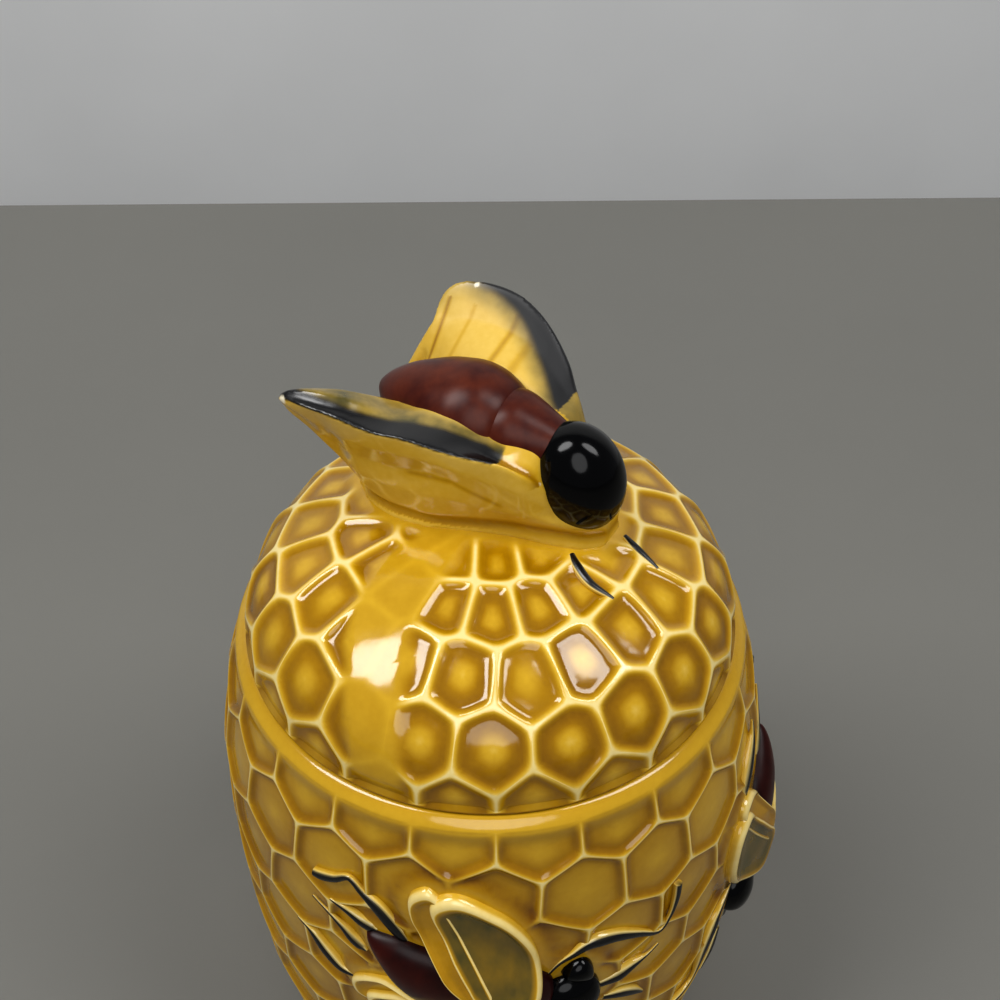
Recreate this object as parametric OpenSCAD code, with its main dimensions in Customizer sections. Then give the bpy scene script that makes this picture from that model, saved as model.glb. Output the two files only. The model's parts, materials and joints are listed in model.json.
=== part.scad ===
// Honey pot in the shape of a beehive, with a loose domed lid and a bee for its handle.
// Sizes are in millimetres. The origin is the centre of the foot, +Z is up and -Y is the front.

/* [Pot] */
// Height from the foot to the seat of the lid
pot_h = 96; // [88:1:108]
// Radius of the wall at its widest
belly_r = 45.8; // [44:0.1:50]
// How far the widest place lies under the seat
belly_drop = 33; // [28:1:40]
// Radius of the wall where it would meet the seat
shoulder_r = 40.5; // [40:0.1:42]
// Radius of the wall where it would meet the ground
base_r = 38.8; // [36:0.1:42]
// Fullness of the wall under its widest place
belly_power = 2.9; // [2.2:0.1:4]
// Thickness of the wall
wall = 4.5; // [3.5:0.1:5.5]
// Thickness of the floor
floor_t = 5; // [4:0.1:7]
// Radius of the mouth
mouth_r = 35; // [33.5:0.1:36]
// Depth of the straight throat that the skirt drops into
throat_h = 8; // [7:0.5:10]
// Height of the rounded rim
rim_h = 3.4; // [3:0.1:4.5]
// Height of the slope from the throat out to the wall
neck_h = 9; // [7:0.5:11]
// Radius of the corner between the wall and the floor, inside
floor_round = 6; // [4:0.5:8]
// Height of the plain band over the foot
foot_h = 4; // [3:0.1:6]
// Radius of the foot's rounded edge
foot_round = 3; // [2:0.1:4]

/* [Lid] */
// Radius of the lid's lower edge
lid_r = 39; // [38:0.1:39.6]
// Height of the dome over the seat
dome_h = 22.2; // [20:0.1:26]
// Fullness of the dome
dome_power = 2.4; // [2:0.1:3]
// Thickness of the dome
dome_wall = 4; // [3.5:0.1:5]
// Height of the plain lip at the lid's lower edge
lip_h = 0.8; // [0.5:0.1:1.2]
// Depth of the skirt that keeps the lid in the mouth
skirt_h = 6; // [4:0.5:6.5]
// Thickness of the skirt
skirt_t = 3; // [2.5:0.1:3.5]
// Gap between the skirt and the mouth
skirt_fit = 0.8; // [0.5:0.1:1.5]

/* [Honeycomb] */
// Number of cells in one row round the hive
cells = 21; // [17:1:25]
// Turn of the first row from the front, in degrees
cell_turn = -8; // [-10:0.5:10]
// Height of one row of cells on the pot
pot_row_h = 12.5; // [10:0.5:15]
// Height of the row that the rim cuts
pot_top_row_h = 6.2; // [5:0.1:8]
// Height of the points of a cell on the pot
pot_point_h = 4.5; // [3:0.1:6]
// Depth of a cell on the pot
pot_cell_depth = 1.2; // [0.8:0.1:1.8]
// Length of one row of cells along the dome
lid_row_h = 10.6; // [9:0.1:12]
// Length of the row that the lid's edge cuts
lid_edge_row_h = 5.3; // [4:0.1:7]
// Height of the points of a cell on the dome
lid_point_h = 3.6; // [2:0.1:5]
// Depth of a cell on the dome
lid_cell_depth = 1; // [0.6:0.1:1.5]
// How far the middle of a cell on the dome rises again
cell_rise = 0.35; // [0:0.05:0.5]
// Number of rows on the dome
lid_rows = 4; // [3:1:4]
// Width of the slope from a ridge down into a cell
cell_slope = 1.3; // [0.8:0.1:2]

/* [Bee on the lid] */
// Direction of the bee, in degrees from +X
bee_turn = -30; // [-60:1:0]
// Distance of the bee's middle to the right of the lid's axis
bee_x = -1.5; // [-4:0.5:4]
// Distance of the bee's middle behind the lid's axis
bee_y = 7; // [0:0.5:9]
// Length of the mound that carries the bee
mound_l = 43; // [38:0.5:46]
// Width of the mound
mound_w = 25; // [22:0.5:28]
// Height of the mound over the seat
mound_z = 32; // [31:0.5:33]
// Height of the bee's belly over the seat
belly_z = 28; // [27:0.5:29]
// Length of the abdomen
abdomen_l = 25; // [20:0.5:30]
// Width of the abdomen
abdomen_w = 15; // [12:0.5:18]
// Height of the abdomen
abdomen_h = 14; // [12:0.5:15]
// Length of the thorax
thorax_l = 15; // [13:0.5:16]
// Length of the head
head_l = 13; // [11:0.5:15]
// Width of the head
head_w = 12.4; // [10:0.1:14]
// Height of the head
head_h = 16; // [13:0.5:18]
// Thickness of the wings at their upper edge
wing_t = 3.6; // [3:0.1:4.5]

/* [Bees on the pot] */
// Drop of the front bee's middle under the seat
relief_drop = 35; // [32:1:38]
// Length of a relief abdomen
relief_abdomen_l = 23; // [18:0.5:26]
// Width of a relief abdomen
relief_abdomen_w = 15; // [12:0.5:17]
// How far a relief body stands out of the wall
relief_body_t = 5; // [3.5:0.1:6]
// How far a relief wing stands out of the wall
relief_wing_t = 2.2; // [1.5:0.1:3]
// Width of the legs and feelers
stroke_w = 1.7; // [1.2:0.1:2.4]
// How far the legs and feelers stand out of the wall
stroke_t = 0.8; // [0.5:0.1:1.2]
// How deep the luted pieces sit in the clay
lute = 1.6; // [1.4:0.1:2.2]

/* [Hidden] */
BEES = ["front_bee", "right_bee", "back_bee"];
BEE_PARTS = ["abdomen", "thorax", "head", "forewings", "hindwings", "legs"];
FINIAL_PARTS = ["mound", "abdomen", "thorax", "head", "right_forewing", "right_hindwing",
                "left_forewing", "left_hindwing", "feelers"];

// Each relief bee: turn round the pot from the front, further drop, and heading on the wall
BEE_AZIMUTH = [-1.5, 76, -131];
BEE_LOWER = [0, 8, 4];
BEE_HEADING = [-21, -106, 158];

$fn = 96;
sides = 2*cells;
cell_angle = 360/cells;
skin_t = 1.5;
overlap = 0.4;
honey = "goldenrod";

// Radius of the pot's wall at a height over the ground
function wall_r(z) = let (
    drop = pot_h - z,
    up = max(0, belly_drop - drop)/belly_drop,
    down = max(0, drop - belly_drop)/(pot_h - belly_drop)
  ) drop < belly_drop
    ? belly_r*sqrt(1 - (1 - pow(shoulder_r/belly_r, 2))*up*up)
    : belly_r*pow(1 - (1 - pow(base_r/belly_r, belly_power))*pow(down, belly_power), 1/belly_power);

// Point at a turn from the front, a distance from the axis and a height
function round_point(az, r, z) = [r*sin(az), -r*cos(az), z];

// Point of the pot's wall, sunk by a depth
function pot_point(az, z, depth) = round_point(az, wall_r(z) - depth, z);

// The dome's outline is a superellipse, followed by its angle at the seat's centre
function dome_rz(a, r = lid_r, h = dome_h) =
  pow(pow(cos(a)/r, dome_power) + pow(sin(a)/h, dome_power), -1/dome_power)*[cos(a), sin(a)];

// Length along the dome's outline from its edge, for every degree
dome_length = [for (a = 0, s = 0; a <= 90; s = s + norm(dome_rz(a + 1) - dome_rz(a)), a = a + 1) [s, a]];

// Point of the dome at a length up from its edge, sunk by a depth square to it
function dome_point(az, s, depth) = let (
    rz = dome_rz(lookup(s, dome_length)),
    slope = [pow(rz[0]/lid_r, dome_power - 1)/lid_r, pow(rz[1]/dome_h, dome_power - 1)/dome_h],
    at = rz - depth*slope/norm(slope)
  ) round_point(az, at[0], pot_h + at[1]);

// Height of the dome's surface over the seat at a distance from the axis
function dome_z(r) = dome_h*pow(1 - pow(min(r, lid_r)/lid_r, dome_power), 1/dome_power);

// Honeycomb skin on a solid of revolution. Level k lies over row k, and the levels run downwards.
// at(az, t, depth) gives a point of the surface. caps gives one inner ring and the axis point of each end.
module honeycomb(at, levels, point_h, depth, centre_rise, width, caps) {
  rows = len(levels) - 1;
  function zigzag(k) = (k == 0 || k == rows) ? 0 : point_h/2;
  function az(i) = cell_turn + i*cell_angle/2;
  function level_t(k, i) = levels[k] + ((i + k) % 2 == 0 ? 1 : -1)*zigzag(k);
  function corner(k, c, j) = let (i = 2*c + k % 2) [
      [k, i], [k, i + 1], [k + 1, i + 1], [k + 1, i], [k + 1, i - 1], [k, i - 1]
    ][j];
  function spot(q) = [az(q[1]), level_t(q[0], q[1])];
  function index(q) = q[0]*sides + (q[1] + sides) % sides;
  ridge_points = [for (k = [0:rows], i = [0:sides - 1]) at(az(i), level_t(k, i), 0)];
  cell_points = [for (k = [0:rows - 1], c = [0:cells - 1])
    let (mid = [az(2*c + k % 2), (levels[k] + levels[k + 1])/2],
         inner = 1 - cell_slope/(width(mid[1])*sin(cell_angle/2)))
    each concat(
      [for (j = [0:5]) let (q = mid + inner*(spot(corner(k, c, j)) - mid)) at(q[0], q[1], depth)],
      [at(mid[0], mid[1], depth - centre_rise)])];
  cap_points = [for (cap = caps) each concat(
    [for (i = [0:sides - 1]) round_point(az(i), cap[0], cap[1])], [[0, 0, cap[1]]])];
  first_cell = (rows + 1)*sides;
  first_cap = first_cell + rows*cells*7;
  cell_faces = [for (k = [0:rows - 1], c = [0:cells - 1], j = [0:5])
    let (n = (j + 1) % 6, base = first_cell + (k*cells + c)*7,
         p = index(corner(k, c, j)), q = index(corner(k, c, n)))
    each [[p, q, base + n], [p, base + n, base + j], [base + j, base + n, base + 6]]];
  cap_faces = [for (i = [0:sides - 1])
    let (n = (i + 1) % sides, top = first_cap, low = first_cap + sides + 1, last = rows*sides)
    each [[top + i, top + n, n], [top + i, n, i], [top + sides, top + n, top + i],
          [last + i, last + n, low + n], [last + i, low + n, low + i], [low + sides, low + i, low + n]]];
  polyhedron(concat(ridge_points, cell_points, cap_points), concat(cell_faces, cap_faces), convexity = 10);
}

// Closed skin over rings of equally many points, between two end points
module skin(rings, first, last) {
  n = len(rings[0]);
  m = len(rings);
  points = concat([for (ring = rings) each ring], [first, last]);
  sides_faces = [for (k = [0:m - 2], i = [0:n - 1])
    let (j = (i + 1) % n, a = k*n, b = a + n) each [[a + i, a + j, b + j], [a + i, b + j, b + i]]];
  end_faces = [for (i = [0:n - 1])
    let (j = (i + 1) % n, a = (m - 1)*n) each [[m*n, j, i], [m*n + 1, a + i, a + j]]];
  polyhedron(points, concat(sides_faces, end_faces), convexity = 6);
}

// Egg with its long axis along X, as rings and end points
module egg(size, steps = 8, around = 18) {
  skin([for (k = [1:steps - 1]) let (a = 180*k/steps)
         [for (i = [0:around - 1]) let (b = -360*i/around)
           [-size[0]/2*cos(a), size[1]/2*sin(a)*cos(b), size[2]/2*sin(a)*sin(b)]]],
       [-size[0]/2, 0, 0], [size[0]/2, 0, 0]);
}

module pot() {
  first = pot_h - rim_h + overlap;
  last_row_min = 0.4*pot_row_h;
  count = floor((first - pot_top_row_h - foot_h - last_row_min)/pot_row_h);
  levels = concat([first], [for (k = [0:count]) first - pot_top_row_h - k*pot_row_h], [foot_h]);
  caps = [[mouth_r + skin_t, first + overlap], [base_r - 3*skin_t, foot_h - overlap]];
  color(honey) difference() {
    union() {
      honeycomb(function(az, z, depth) pot_point(az, z, depth), levels, pot_point_h, pot_cell_depth,
                0, function(z) wall_r(z), caps);
      rotate_extrude() rim_outline();
      rotate_extrude() foot_outline();
    }
    rotate_extrude() cavity_outline();
  }
}

// Rounded rim, from the flat seat out to the wall
module rim_outline() {
  seat_r = lid_r + overlap;
  edge = wall_r(pot_h - rim_h);
  polygon(concat(
    [[mouth_r - overlap, pot_h - rim_h], [mouth_r - overlap, pot_h]],
    [for (a = [0:15:90]) [seat_r + (edge - seat_r)*sin(a), pot_h - rim_h*(1 - cos(a))]]));
}

// Plain band and rounded edge over the flat foot
module foot_outline() {
  top = foot_h + overlap/2;
  polygon(concat(
    [[0, 0], [wall_r(0) - foot_round, 0]],
    [for (a = [15:15:75]) [wall_r(0) - foot_round*(1 - sin(a)), foot_round*(1 - cos(a))]],
    [[wall_r(0), foot_round], [wall_r(foot_h), top], [0, top]]));
}

// Hollow of the pot: a straight throat, a shoulder and the inside of the wall
module cavity_outline() {
  throat_z = pot_h - throat_h;
  neck_z = throat_z - neck_h;
  steps = 8;
  step = (neck_z - floor_t - floor_round)/steps;
  inside = [for (k = [0:steps]) let (z = neck_z - k*step) [wall_r(z) - wall, z]];
  low = inside[steps];
  polygon(concat(
    [[0, pot_h + overlap], [mouth_r, pot_h + overlap], [mouth_r, throat_z]],
    inside,
    [for (a = [30:30:90]) low - floor_round*[1 - cos(a), sin(a)]],
    [[0, floor_t]]));
}

module lid() {
  top = lip_h + lid_edge_row_h + (lid_rows - 1)*lid_row_h;
  levels = concat([for (k = [0:lid_rows - 1]) top - k*lid_row_h], [lip_h]);
  crown = dome_rz(lookup(top + lid_row_h/2, dome_length));
  caps = [[crown[0], pot_h + crown[1]], [lid_r - skin_t, pot_h + overlap]];
  color(honey) difference() {
    union() {
      honeycomb(function(az, s, depth) dome_point(az, s, depth), levels, lid_point_h, lid_cell_depth,
                cell_rise, function(s) dome_rz(lookup(s, dome_length))[0], caps);
      translate([0, 0, pot_h]) cylinder(r = lid_r, h = lip_h + overlap/4);
      translate([0, 0, pot_h - skirt_h]) cylinder(r = mouth_r - skirt_fit, h = skirt_h + overlap/4);
    }
    rotate_extrude() lid_hollow_outline();
  }
}

// Hollow under the lid: straight inside the skirt, then parallel to the dome
module lid_hollow_outline() {
  inner_r = mouth_r - skirt_fit - skirt_t;
  low = pot_h - skirt_h - overlap;
  polygon(concat(
    [[0, low], [inner_r, low]],
    [for (a = [0:9:90])
      let (rz = dome_rz(a, lid_r - dome_wall, dome_h - dome_wall)) [min(rz[0], inner_r), pot_h + rz[1]]]));
}

// Puts the bee's own frame on the lid: X runs along its heading, Y to its left, Z is over the seat
module on_lid() {
  translate([bee_x, bee_y, pot_h]) rotate([0, 0, bee_turn]) children();
}

// Height of the dome under a point of the bee's frame
function dome_under(x, y) = dome_z(norm([
  bee_x + x*cos(bee_turn) - y*sin(bee_turn), bee_y + x*sin(bee_turn) + y*cos(bee_turn)]));

// Boat-shaped mound between the dome and the bee. Each shape is a part of the way up and a scale in plan.
module finial_mound() {
  shapes = [[0, 1.04], [0.13, 1], [0.22, 0.95], [0.4, 0.92], [0.6, 0.92], [0.8, 0.94], [0.93, 0.9], [1, 0.8]];
  mid_x = 2.5;
  around = 32;
  stern_power = 2.8;
  bow_power = 1.9;
  crown_h = 0.8;
  // Plan of the mound, fuller at the stern than at the bow
  function plan(a) = let (power = cos(a) < 0 ? stern_power : bow_power)
    pow(pow(abs(cos(a))*2/mound_l, power) + pow(abs(sin(a))*2/mound_w, power), -1/power)*[cos(a), sin(a)];
  function ring(s) = [for (i = [0:around - 1])
    let (p = [mid_x, 0] + s[1]*plan(-360*i/around))
    [p[0], p[1], (1 - s[0])*(dome_under(p[0], p[1]) - lute) + s[0]*mound_z]];
  color(honey) on_lid() skin(
    [for (s = shapes) ring(s)],
    [mid_x, 0, dome_under(mid_x, 0) - lute], [mid_x, 0, mound_z + crown_h]);
}

module finial_abdomen() {
  front_x = 7;
  color("maroon") on_lid() translate([front_x - abdomen_l/2, 0, belly_z + abdomen_h/2])
    egg([abdomen_l, abdomen_w, abdomen_h], 10, 24);
}

module finial_thorax() {
  rear_x = 3;
  size = [thorax_l, 0.88*abdomen_w, 0.88*abdomen_h];
  color("maroon") on_lid() translate([rear_x + thorax_l/2, 0, belly_z + size[2]/2]) egg(size, 8, 20);
}

module finial_head() {
  mid_x = 17.5;
  color("black") on_lid() translate([mid_x, 0, mound_z - 0.15*head_h]) egg([head_l, head_w, head_h], 10, 20);
}

// Blade along X: each station gives x, the lower edge [y, z], the upper edge [y, z] and the thickness
module blade(stations, around = 12) {
  function section(s) = let (
      low = s[1], high = s[2], mid = (low + high)/2, half = (high - low)/2,
      across = [half[1], -half[0]]/norm(half)
    ) [for (i = [0:around - 1]) let (
        a = -360*i/around,
        q = mid + half*sign(sin(a))*pow(abs(sin(a)), 0.8) + across*s[3]/2*cos(a)
      ) [s[0], q[0], q[1]]];
  first = stations[0];
  last = stations[len(stations) - 1];
  skin([for (s = stations) section(s)],
       [first[0] - 0.6, (first[1][0] + first[2][0])/2, (first[1][1] + first[2][1])/2],
       [last[0] + 0.6, (last[1][0] + last[2][0])/2, (last[1][1] + last[2][1])/2]);
}

// The bee's right forewing stands on edge along the near side, with its tip past the tail
module finial_right_forewing() {
  color(honey) on_lid() blade([
    [-23.4, [-15.9, 39.6], [-16.1, 41.0], 1.4],
    [-21.0, [-15.3, 36.4], [-15.8, 41.5], 0.8*wing_t],
    [-17.0, [-14.2, 32.4], [-15.2, 41.7], wing_t],
    [-13.0, [-12.6, 28.4], [-14.4, 41.5], 1.15*wing_t],
    [-8.6, [-11.2, 27.6], [-13.4, 41.2], 1.2*wing_t],
    [-3.0, [-10.6, 28.4], [-12.4, 40.7], 1.2*wing_t],
    [2.0, [-10.0, 28.8], [-11.4, 39.9], 1.15*wing_t],
    [6.9, [-9.0, 28.8], [-10.3, 38.2], wing_t],
    [11.0, [-7.4, 28.6], [-8.4, 35.4], 0.9*wing_t],
    [14.5, [-5.4, 28.4], [-6.0, 32.0], 0.7*wing_t]]);
}

// The right hindwing is a slim strip under the forewing
module finial_right_hindwing() {
  color(honey) on_lid() blade([
    [-13.0, [-12.4, 29.2], [-13.2, 31.6], 1.2],
    [-9.0, [-11.9, 29.2], [-13.2, 33.6], 2.4],
    [-4.0, [-11.6, 29.6], [-13.2, 35.2], 3.0],
    [1.0, [-11.2, 29.8], [-12.6, 35.4], 3.0],
    [6.0, [-10.2, 29.8], [-11.2, 34.4], 2.8],
    [10.5, [-8.6, 29.4], [-9.2, 32.6], 2.2],
    [13.5, [-7.0, 29.0], [-7.3, 30.8], 1.4]], 10);
}

// The left forewing is a broad flap that leans outwards on the far side
module finial_left_forewing() {
  color(honey) on_lid() blade([
    [-15.2, [11.2, 38.0], [14.2, 41.6], 1.4],
    [-13.6, [10.4, 34.0], [17.0, 43.4], 0.75*wing_t],
    [-11.0, [10.0, 30.0], [18.8, 44.4], 0.9*wing_t],
    [-7.0, [10.0, 28.4], [19.3, 44.4], wing_t],
    [-2.5, [10.0, 28.2], [17.9, 43.2], wing_t],
    [1.8, [9.6, 28.2], [16.1, 41.6], wing_t],
    [5.5, [8.9, 28.2], [14.4, 39.4], wing_t],
    [8.8, [7.9, 28.2], [12.4, 36.6], 0.9*wing_t],
    [11.5, [6.8, 28.4], [10.2, 33.0], 0.7*wing_t]]);
}

module finial_left_hindwing() {
  color(honey) on_lid() blade([
    [-18.4, [7.6, 34.0], [9.2, 36.6], 1.4],
    [-16.4, [7.4, 31.0], [10.4, 38.8], 2.4],
    [-13.0, [7.8, 28.8], [11.2, 38.2], 2.8],
    [-9.0, [9.6, 28.6], [12.6, 34.6], 2.8],
    [-4.0, [10.6, 28.8], [13.2, 32.0], 2.2],
    [0.0, [11.0, 29.2], [12.4, 30.6], 1.2]], 10);
}

// One round of corner cutting on a path
function rounded(path) = concat([path[0]],
  [for (k = [0:len(path) - 2]) each [0.75*path[k] + 0.25*path[k + 1], 0.25*path[k] + 0.75*path[k + 1]]],
  [path[len(path) - 1]]);

// Raised stroke that follows a surface: four corners at each station, drawn to a point at both ends
module stroke(corners, at, width, height) {
  path = rounded(corners);
  n = len(path);
  end_l = 0.4;
  end_scale = 0.55;
  function heading(k) = let (d = path[min(k + 1, n - 1)] - path[max(k - 1, 0)]) d/norm(d);
  function ring(k) = let (
      h = heading(k), side = [-h[1], h[0]], w = width/2*(k == 0 || k == n - 1 ? end_scale : 1)
    ) [for (c = [[-1, -lute], [-0.6, height], [0.6, height], [1, -lute]]) at(path[k] + side*c[0]*w, c[1])];
  skin([for (k = [0:n - 1]) ring(k)],
       at(path[0] - heading(0)*end_l, 0), at(path[n - 1] + heading(n - 1)*end_l, 0));
}

// Two feelers raised on the dome before the head
module finial_feelers() {
  width = 1.2;
  height = 0.35;
  function at(p, h) = round_point(atan2(p[0], -p[1]), norm(p), pot_h + dome_z(norm(p)) + h);
  color("black") for (path = [[[12.4, -8.6], [13.4, -11.4], [15.4, -13.8], [17.6, -14.6]],
                              [[20.2, -3.4], [22.2, -5.4], [24.6, -7.4]]])
    stroke(path, function(p, h) at(p, h), width, height);
}

// Point of a relief bee's own frame on the wall: u along its heading, v to its left, h outwards
function on_wall(b, u, v, h) = let (
    t = BEE_HEADING[b],
    z = pot_h - relief_drop - BEE_LOWER[b] + u*sin(t) + v*cos(t),
    az = BEE_AZIMUTH[b] + (u*cos(t) - v*sin(t))/belly_r*180/PI
  ) round_point(az, wall_r(z) + h, z);

// Cushion of clay luted to the wall: an ellipse at [u, v] that rises to a height
module pillow(b, at, size, turn, height, around = 16) {
  shapes = [[0.96, -lute], [1, 0.1*height], [0.94, 0.5*height], [0.72, 0.84*height], [0.4, 0.97*height]];
  function ring(s) = [for (i = [0:around - 1])
    let (a = -360*i/around, x = s[0]*size[0]/2*cos(a), y = s[0]*size[1]/2*sin(a))
    on_wall(b, at[0] + x*cos(turn) - y*sin(turn), at[1] + x*sin(turn) + y*cos(turn), s[1])];
  skin([for (s = shapes) ring(s)], on_wall(b, at[0], at[1], -lute), on_wall(b, at[0], at[1], height));
}

module relief_abdomen(b) {
  color("maroon") pillow(b, [2.5 - relief_abdomen_l/2, 0], [relief_abdomen_l, relief_abdomen_w], 0,
                         relief_body_t, 18);
}

module relief_thorax(b) {
  color("maroon") pillow(b, [4.5, 0], [13, 12.5], 0, 0.92*relief_body_t);
}

module relief_head(b) {
  color("black") pillow(b, [14, 0], [10.5, 10.8], 0, 0.86*relief_body_t);
}

module relief_forewings(b) {
  color(honey) for (s = [-1, 1]) pillow(b, [-2.4, s*8.6], [24, 12], s*139, relief_wing_t);
}

module relief_hindwings(b) {
  color(honey) for (s = [-1, 1]) pillow(b, [-11.2, s*10.8], [17, 7.6], s*146, 0.7*relief_wing_t);
}

module relief_legs(b) {
  paths = [
    [[7.6, 6.7], [11.4, 12.1], [14.2, 12.7], [27.6, 9.9], [28.6, 12.5], [27.8, 20.2]],
    [[7.6, -6.7], [11.4, -12.1], [14.2, -12.7], [27.6, -12.4], [29.6, -15.5], [29.8, -21]],
    [[18, 1.4], [24.5, 2.7], [27.6, 5], [29.4, 7.1]],
    [[18, -1.4], [24.5, -3.8], [31, -6.2]],
    [[-14.2, 6], [-19.6, 8.4], [-27.2, 9.4], [-32.4, 3.4]],
    [[-19.6, 2.4], [-27.8, 0.8]],
    [[-18.6, -5.3], [-24, -3.8], [-30.5, -2.3]],
    [[-17.3, -15.9], [-20.3, -16.7], [-28.1, -13.7]]];
  color("black") for (path = paths)
    stroke(path, function(p, h) on_wall(b, p[0], p[1], h), stroke_w, stroke_t);
}

// One piece of one relief bee
module relief(b, part) {
  if (part == "abdomen") relief_abdomen(b);
  if (part == "thorax") relief_thorax(b);
  if (part == "head") relief_head(b);
  if (part == "forewings") relief_forewings(b);
  if (part == "hindwings") relief_hindwings(b);
  if (part == "legs") relief_legs(b);
}

pot();
lid();
finial_mound();
finial_abdomen();
finial_thorax();
finial_head();
finial_right_forewing();
finial_right_hindwing();
finial_left_forewing();
finial_left_hindwing();
finial_feelers();
for (b = [0:len(BEES) - 1], p = BEE_PARTS) relief(b, p);
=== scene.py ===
"""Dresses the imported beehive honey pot: glazed honeycomb, moulded bees, a table and soft studio light.

Sizes of the pottery are in millimetres and are turned into metres when a mesh is made.
"""

import enum
import json
import logging
import math
from collections.abc import Callable, Sequence
from dataclasses import dataclass, field

import bpy
import numpy as np
from mathutils import Matrix, Vector
from mathutils.geometry import delaunay_2d_cdt

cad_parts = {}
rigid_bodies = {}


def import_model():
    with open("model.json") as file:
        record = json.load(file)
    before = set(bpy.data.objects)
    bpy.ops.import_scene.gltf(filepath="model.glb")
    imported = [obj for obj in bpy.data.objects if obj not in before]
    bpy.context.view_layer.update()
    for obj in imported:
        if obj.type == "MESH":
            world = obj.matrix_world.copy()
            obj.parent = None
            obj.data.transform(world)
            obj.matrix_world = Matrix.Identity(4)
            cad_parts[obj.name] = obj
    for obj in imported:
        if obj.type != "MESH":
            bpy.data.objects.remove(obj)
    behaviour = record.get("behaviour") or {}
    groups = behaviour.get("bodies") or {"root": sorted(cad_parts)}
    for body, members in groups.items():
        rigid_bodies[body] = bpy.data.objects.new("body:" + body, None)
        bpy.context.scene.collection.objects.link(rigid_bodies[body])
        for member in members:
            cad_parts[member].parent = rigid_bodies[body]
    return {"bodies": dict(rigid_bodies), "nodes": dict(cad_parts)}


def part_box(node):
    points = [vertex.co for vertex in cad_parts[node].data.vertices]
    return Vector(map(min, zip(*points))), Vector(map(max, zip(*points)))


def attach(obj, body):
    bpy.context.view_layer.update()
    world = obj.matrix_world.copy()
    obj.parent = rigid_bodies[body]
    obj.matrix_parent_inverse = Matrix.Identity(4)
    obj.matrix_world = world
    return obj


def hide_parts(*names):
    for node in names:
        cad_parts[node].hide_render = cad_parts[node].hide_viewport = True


LOG = logging.getLogger("honey_pot")
MM = 0.001
Array = np.ndarray
Colour = tuple[float, float, float]
Pair = tuple[float, float]
Triple = tuple[float, float, float]
Shape = tuple[Array, list]
Socket = bpy.types.NodeSocket
FAR_OUT = 20.0  # Distance from a cell's middle that points outside every cell count as


class Body(enum.Enum):
    """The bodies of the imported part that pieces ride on."""

    POT = "pot"
    LID = "lid"


class Slot(enum.Enum):
    """The record's material slots."""

    HONEY = "honey_glaze"
    BROWN = "brown_glaze"
    BLACK = "black_glaze"
    WING = "wing_glaze"


def linear(red: float, green: float, blue: float) -> Colour:
    """Returns a colour given in display values from 0 to 255 as linear light."""
    shares = (c / 255 for c in (red, green, blue))
    return tuple(c / 12.92 if c <= 0.04045 else ((c + 0.055) / 1.055) ** 2.4 for c in shares)


def unit(vectors: Array) -> Array:
    """Returns vectors scaled to length one along their last axis."""
    return vectors / np.maximum(np.linalg.norm(vectors, axis=-1, keepdims=True), 1e-12)


def smoothstep(low: float, high: float, value: Array) -> Array:
    """Returns 0 below low, 1 above high and a smooth rise between them."""
    share = np.clip((value - low) / (high - low), 0, 1)
    return share * share * (3 - 2 * share)


def bell(away: Array, width: float) -> Array:
    """Returns 1 where away is 0 and a smooth fall to 0 on both sides of it."""
    return np.exp(-(away / width) ** 2)


def spline(stations: Sequence, count: int, closed: bool = False) -> Array:
    """Resamples rows of numbers along a smooth curve through them.

    Args:
        stations: One row for each station.
        count: How many rows to return.
        closed: Whether the curve runs on from the last station to the first.

    Returns:
        Rows at even steps of the curve.
    """
    rows = np.asarray(stations, float)
    if closed:
        padded = np.vstack([rows[-1:], rows, rows[:2]])
        place = np.arange(count) * len(rows) / count
    else:
        padded = np.vstack([2 * rows[0] - rows[1], rows, 2 * rows[-1] - rows[-2]])
        place = np.linspace(0, len(rows) - 1, count)
    first = np.minimum(place.astype(int), len(padded) - 4)
    t = (place - first)[:, None]
    p0, p1, p2, p3 = (padded[first + k] for k in range(4))
    return 0.5 * (2 * p1 + (p2 - p0) * t + (2 * p0 - 5 * p1 + 4 * p2 - p3) * t ** 2
                  + (3 * p1 - p0 - 3 * p2 + p3) * t ** 3)


def linked(name: str, data: bpy.types.ID | None) -> bpy.types.Object:
    """Makes an object of the scene.

    Args:
        name: Its name.
        data: Its mesh, lamp or camera.

    Returns:
        The object.
    """
    made = bpy.data.objects.new(name, data)
    bpy.context.scene.collection.objects.link(made)
    return made


def vertices(piece: bpy.types.Object) -> Array:
    """Reads the vertices of a piece.

    Args:
        piece: The object.

    Returns:
        Its vertices in millimetres.
    """
    flat = np.zeros(len(piece.data.vertices) * 3)
    piece.data.vertices.foreach_get("co", flat)
    return flat.reshape(-1, 3) / MM


def set_layer(mesh: bpy.types.Mesh, key: str, values: Array) -> None:
    """Stores one number for each vertex of a mesh as an attribute."""
    layer = mesh.attributes.get(key) or mesh.attributes.new(key, "FLOAT", "POINT")
    layer.data.foreach_set("value", np.asarray(values, np.float32))


def keep_mesh(piece: bpy.types.Object, made: bpy.types.Mesh) -> None:
    """Gives a piece its finished, smooth mesh in place of the one it had.

    Args:
        piece: The object.
        made: The finished mesh.
    """
    old, piece.data = piece.data, made
    bpy.data.meshes.remove(old)
    made.name = piece.name
    made.polygons.foreach_set("use_smooth", [True] * len(made.polygons))
    made.update()


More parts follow.
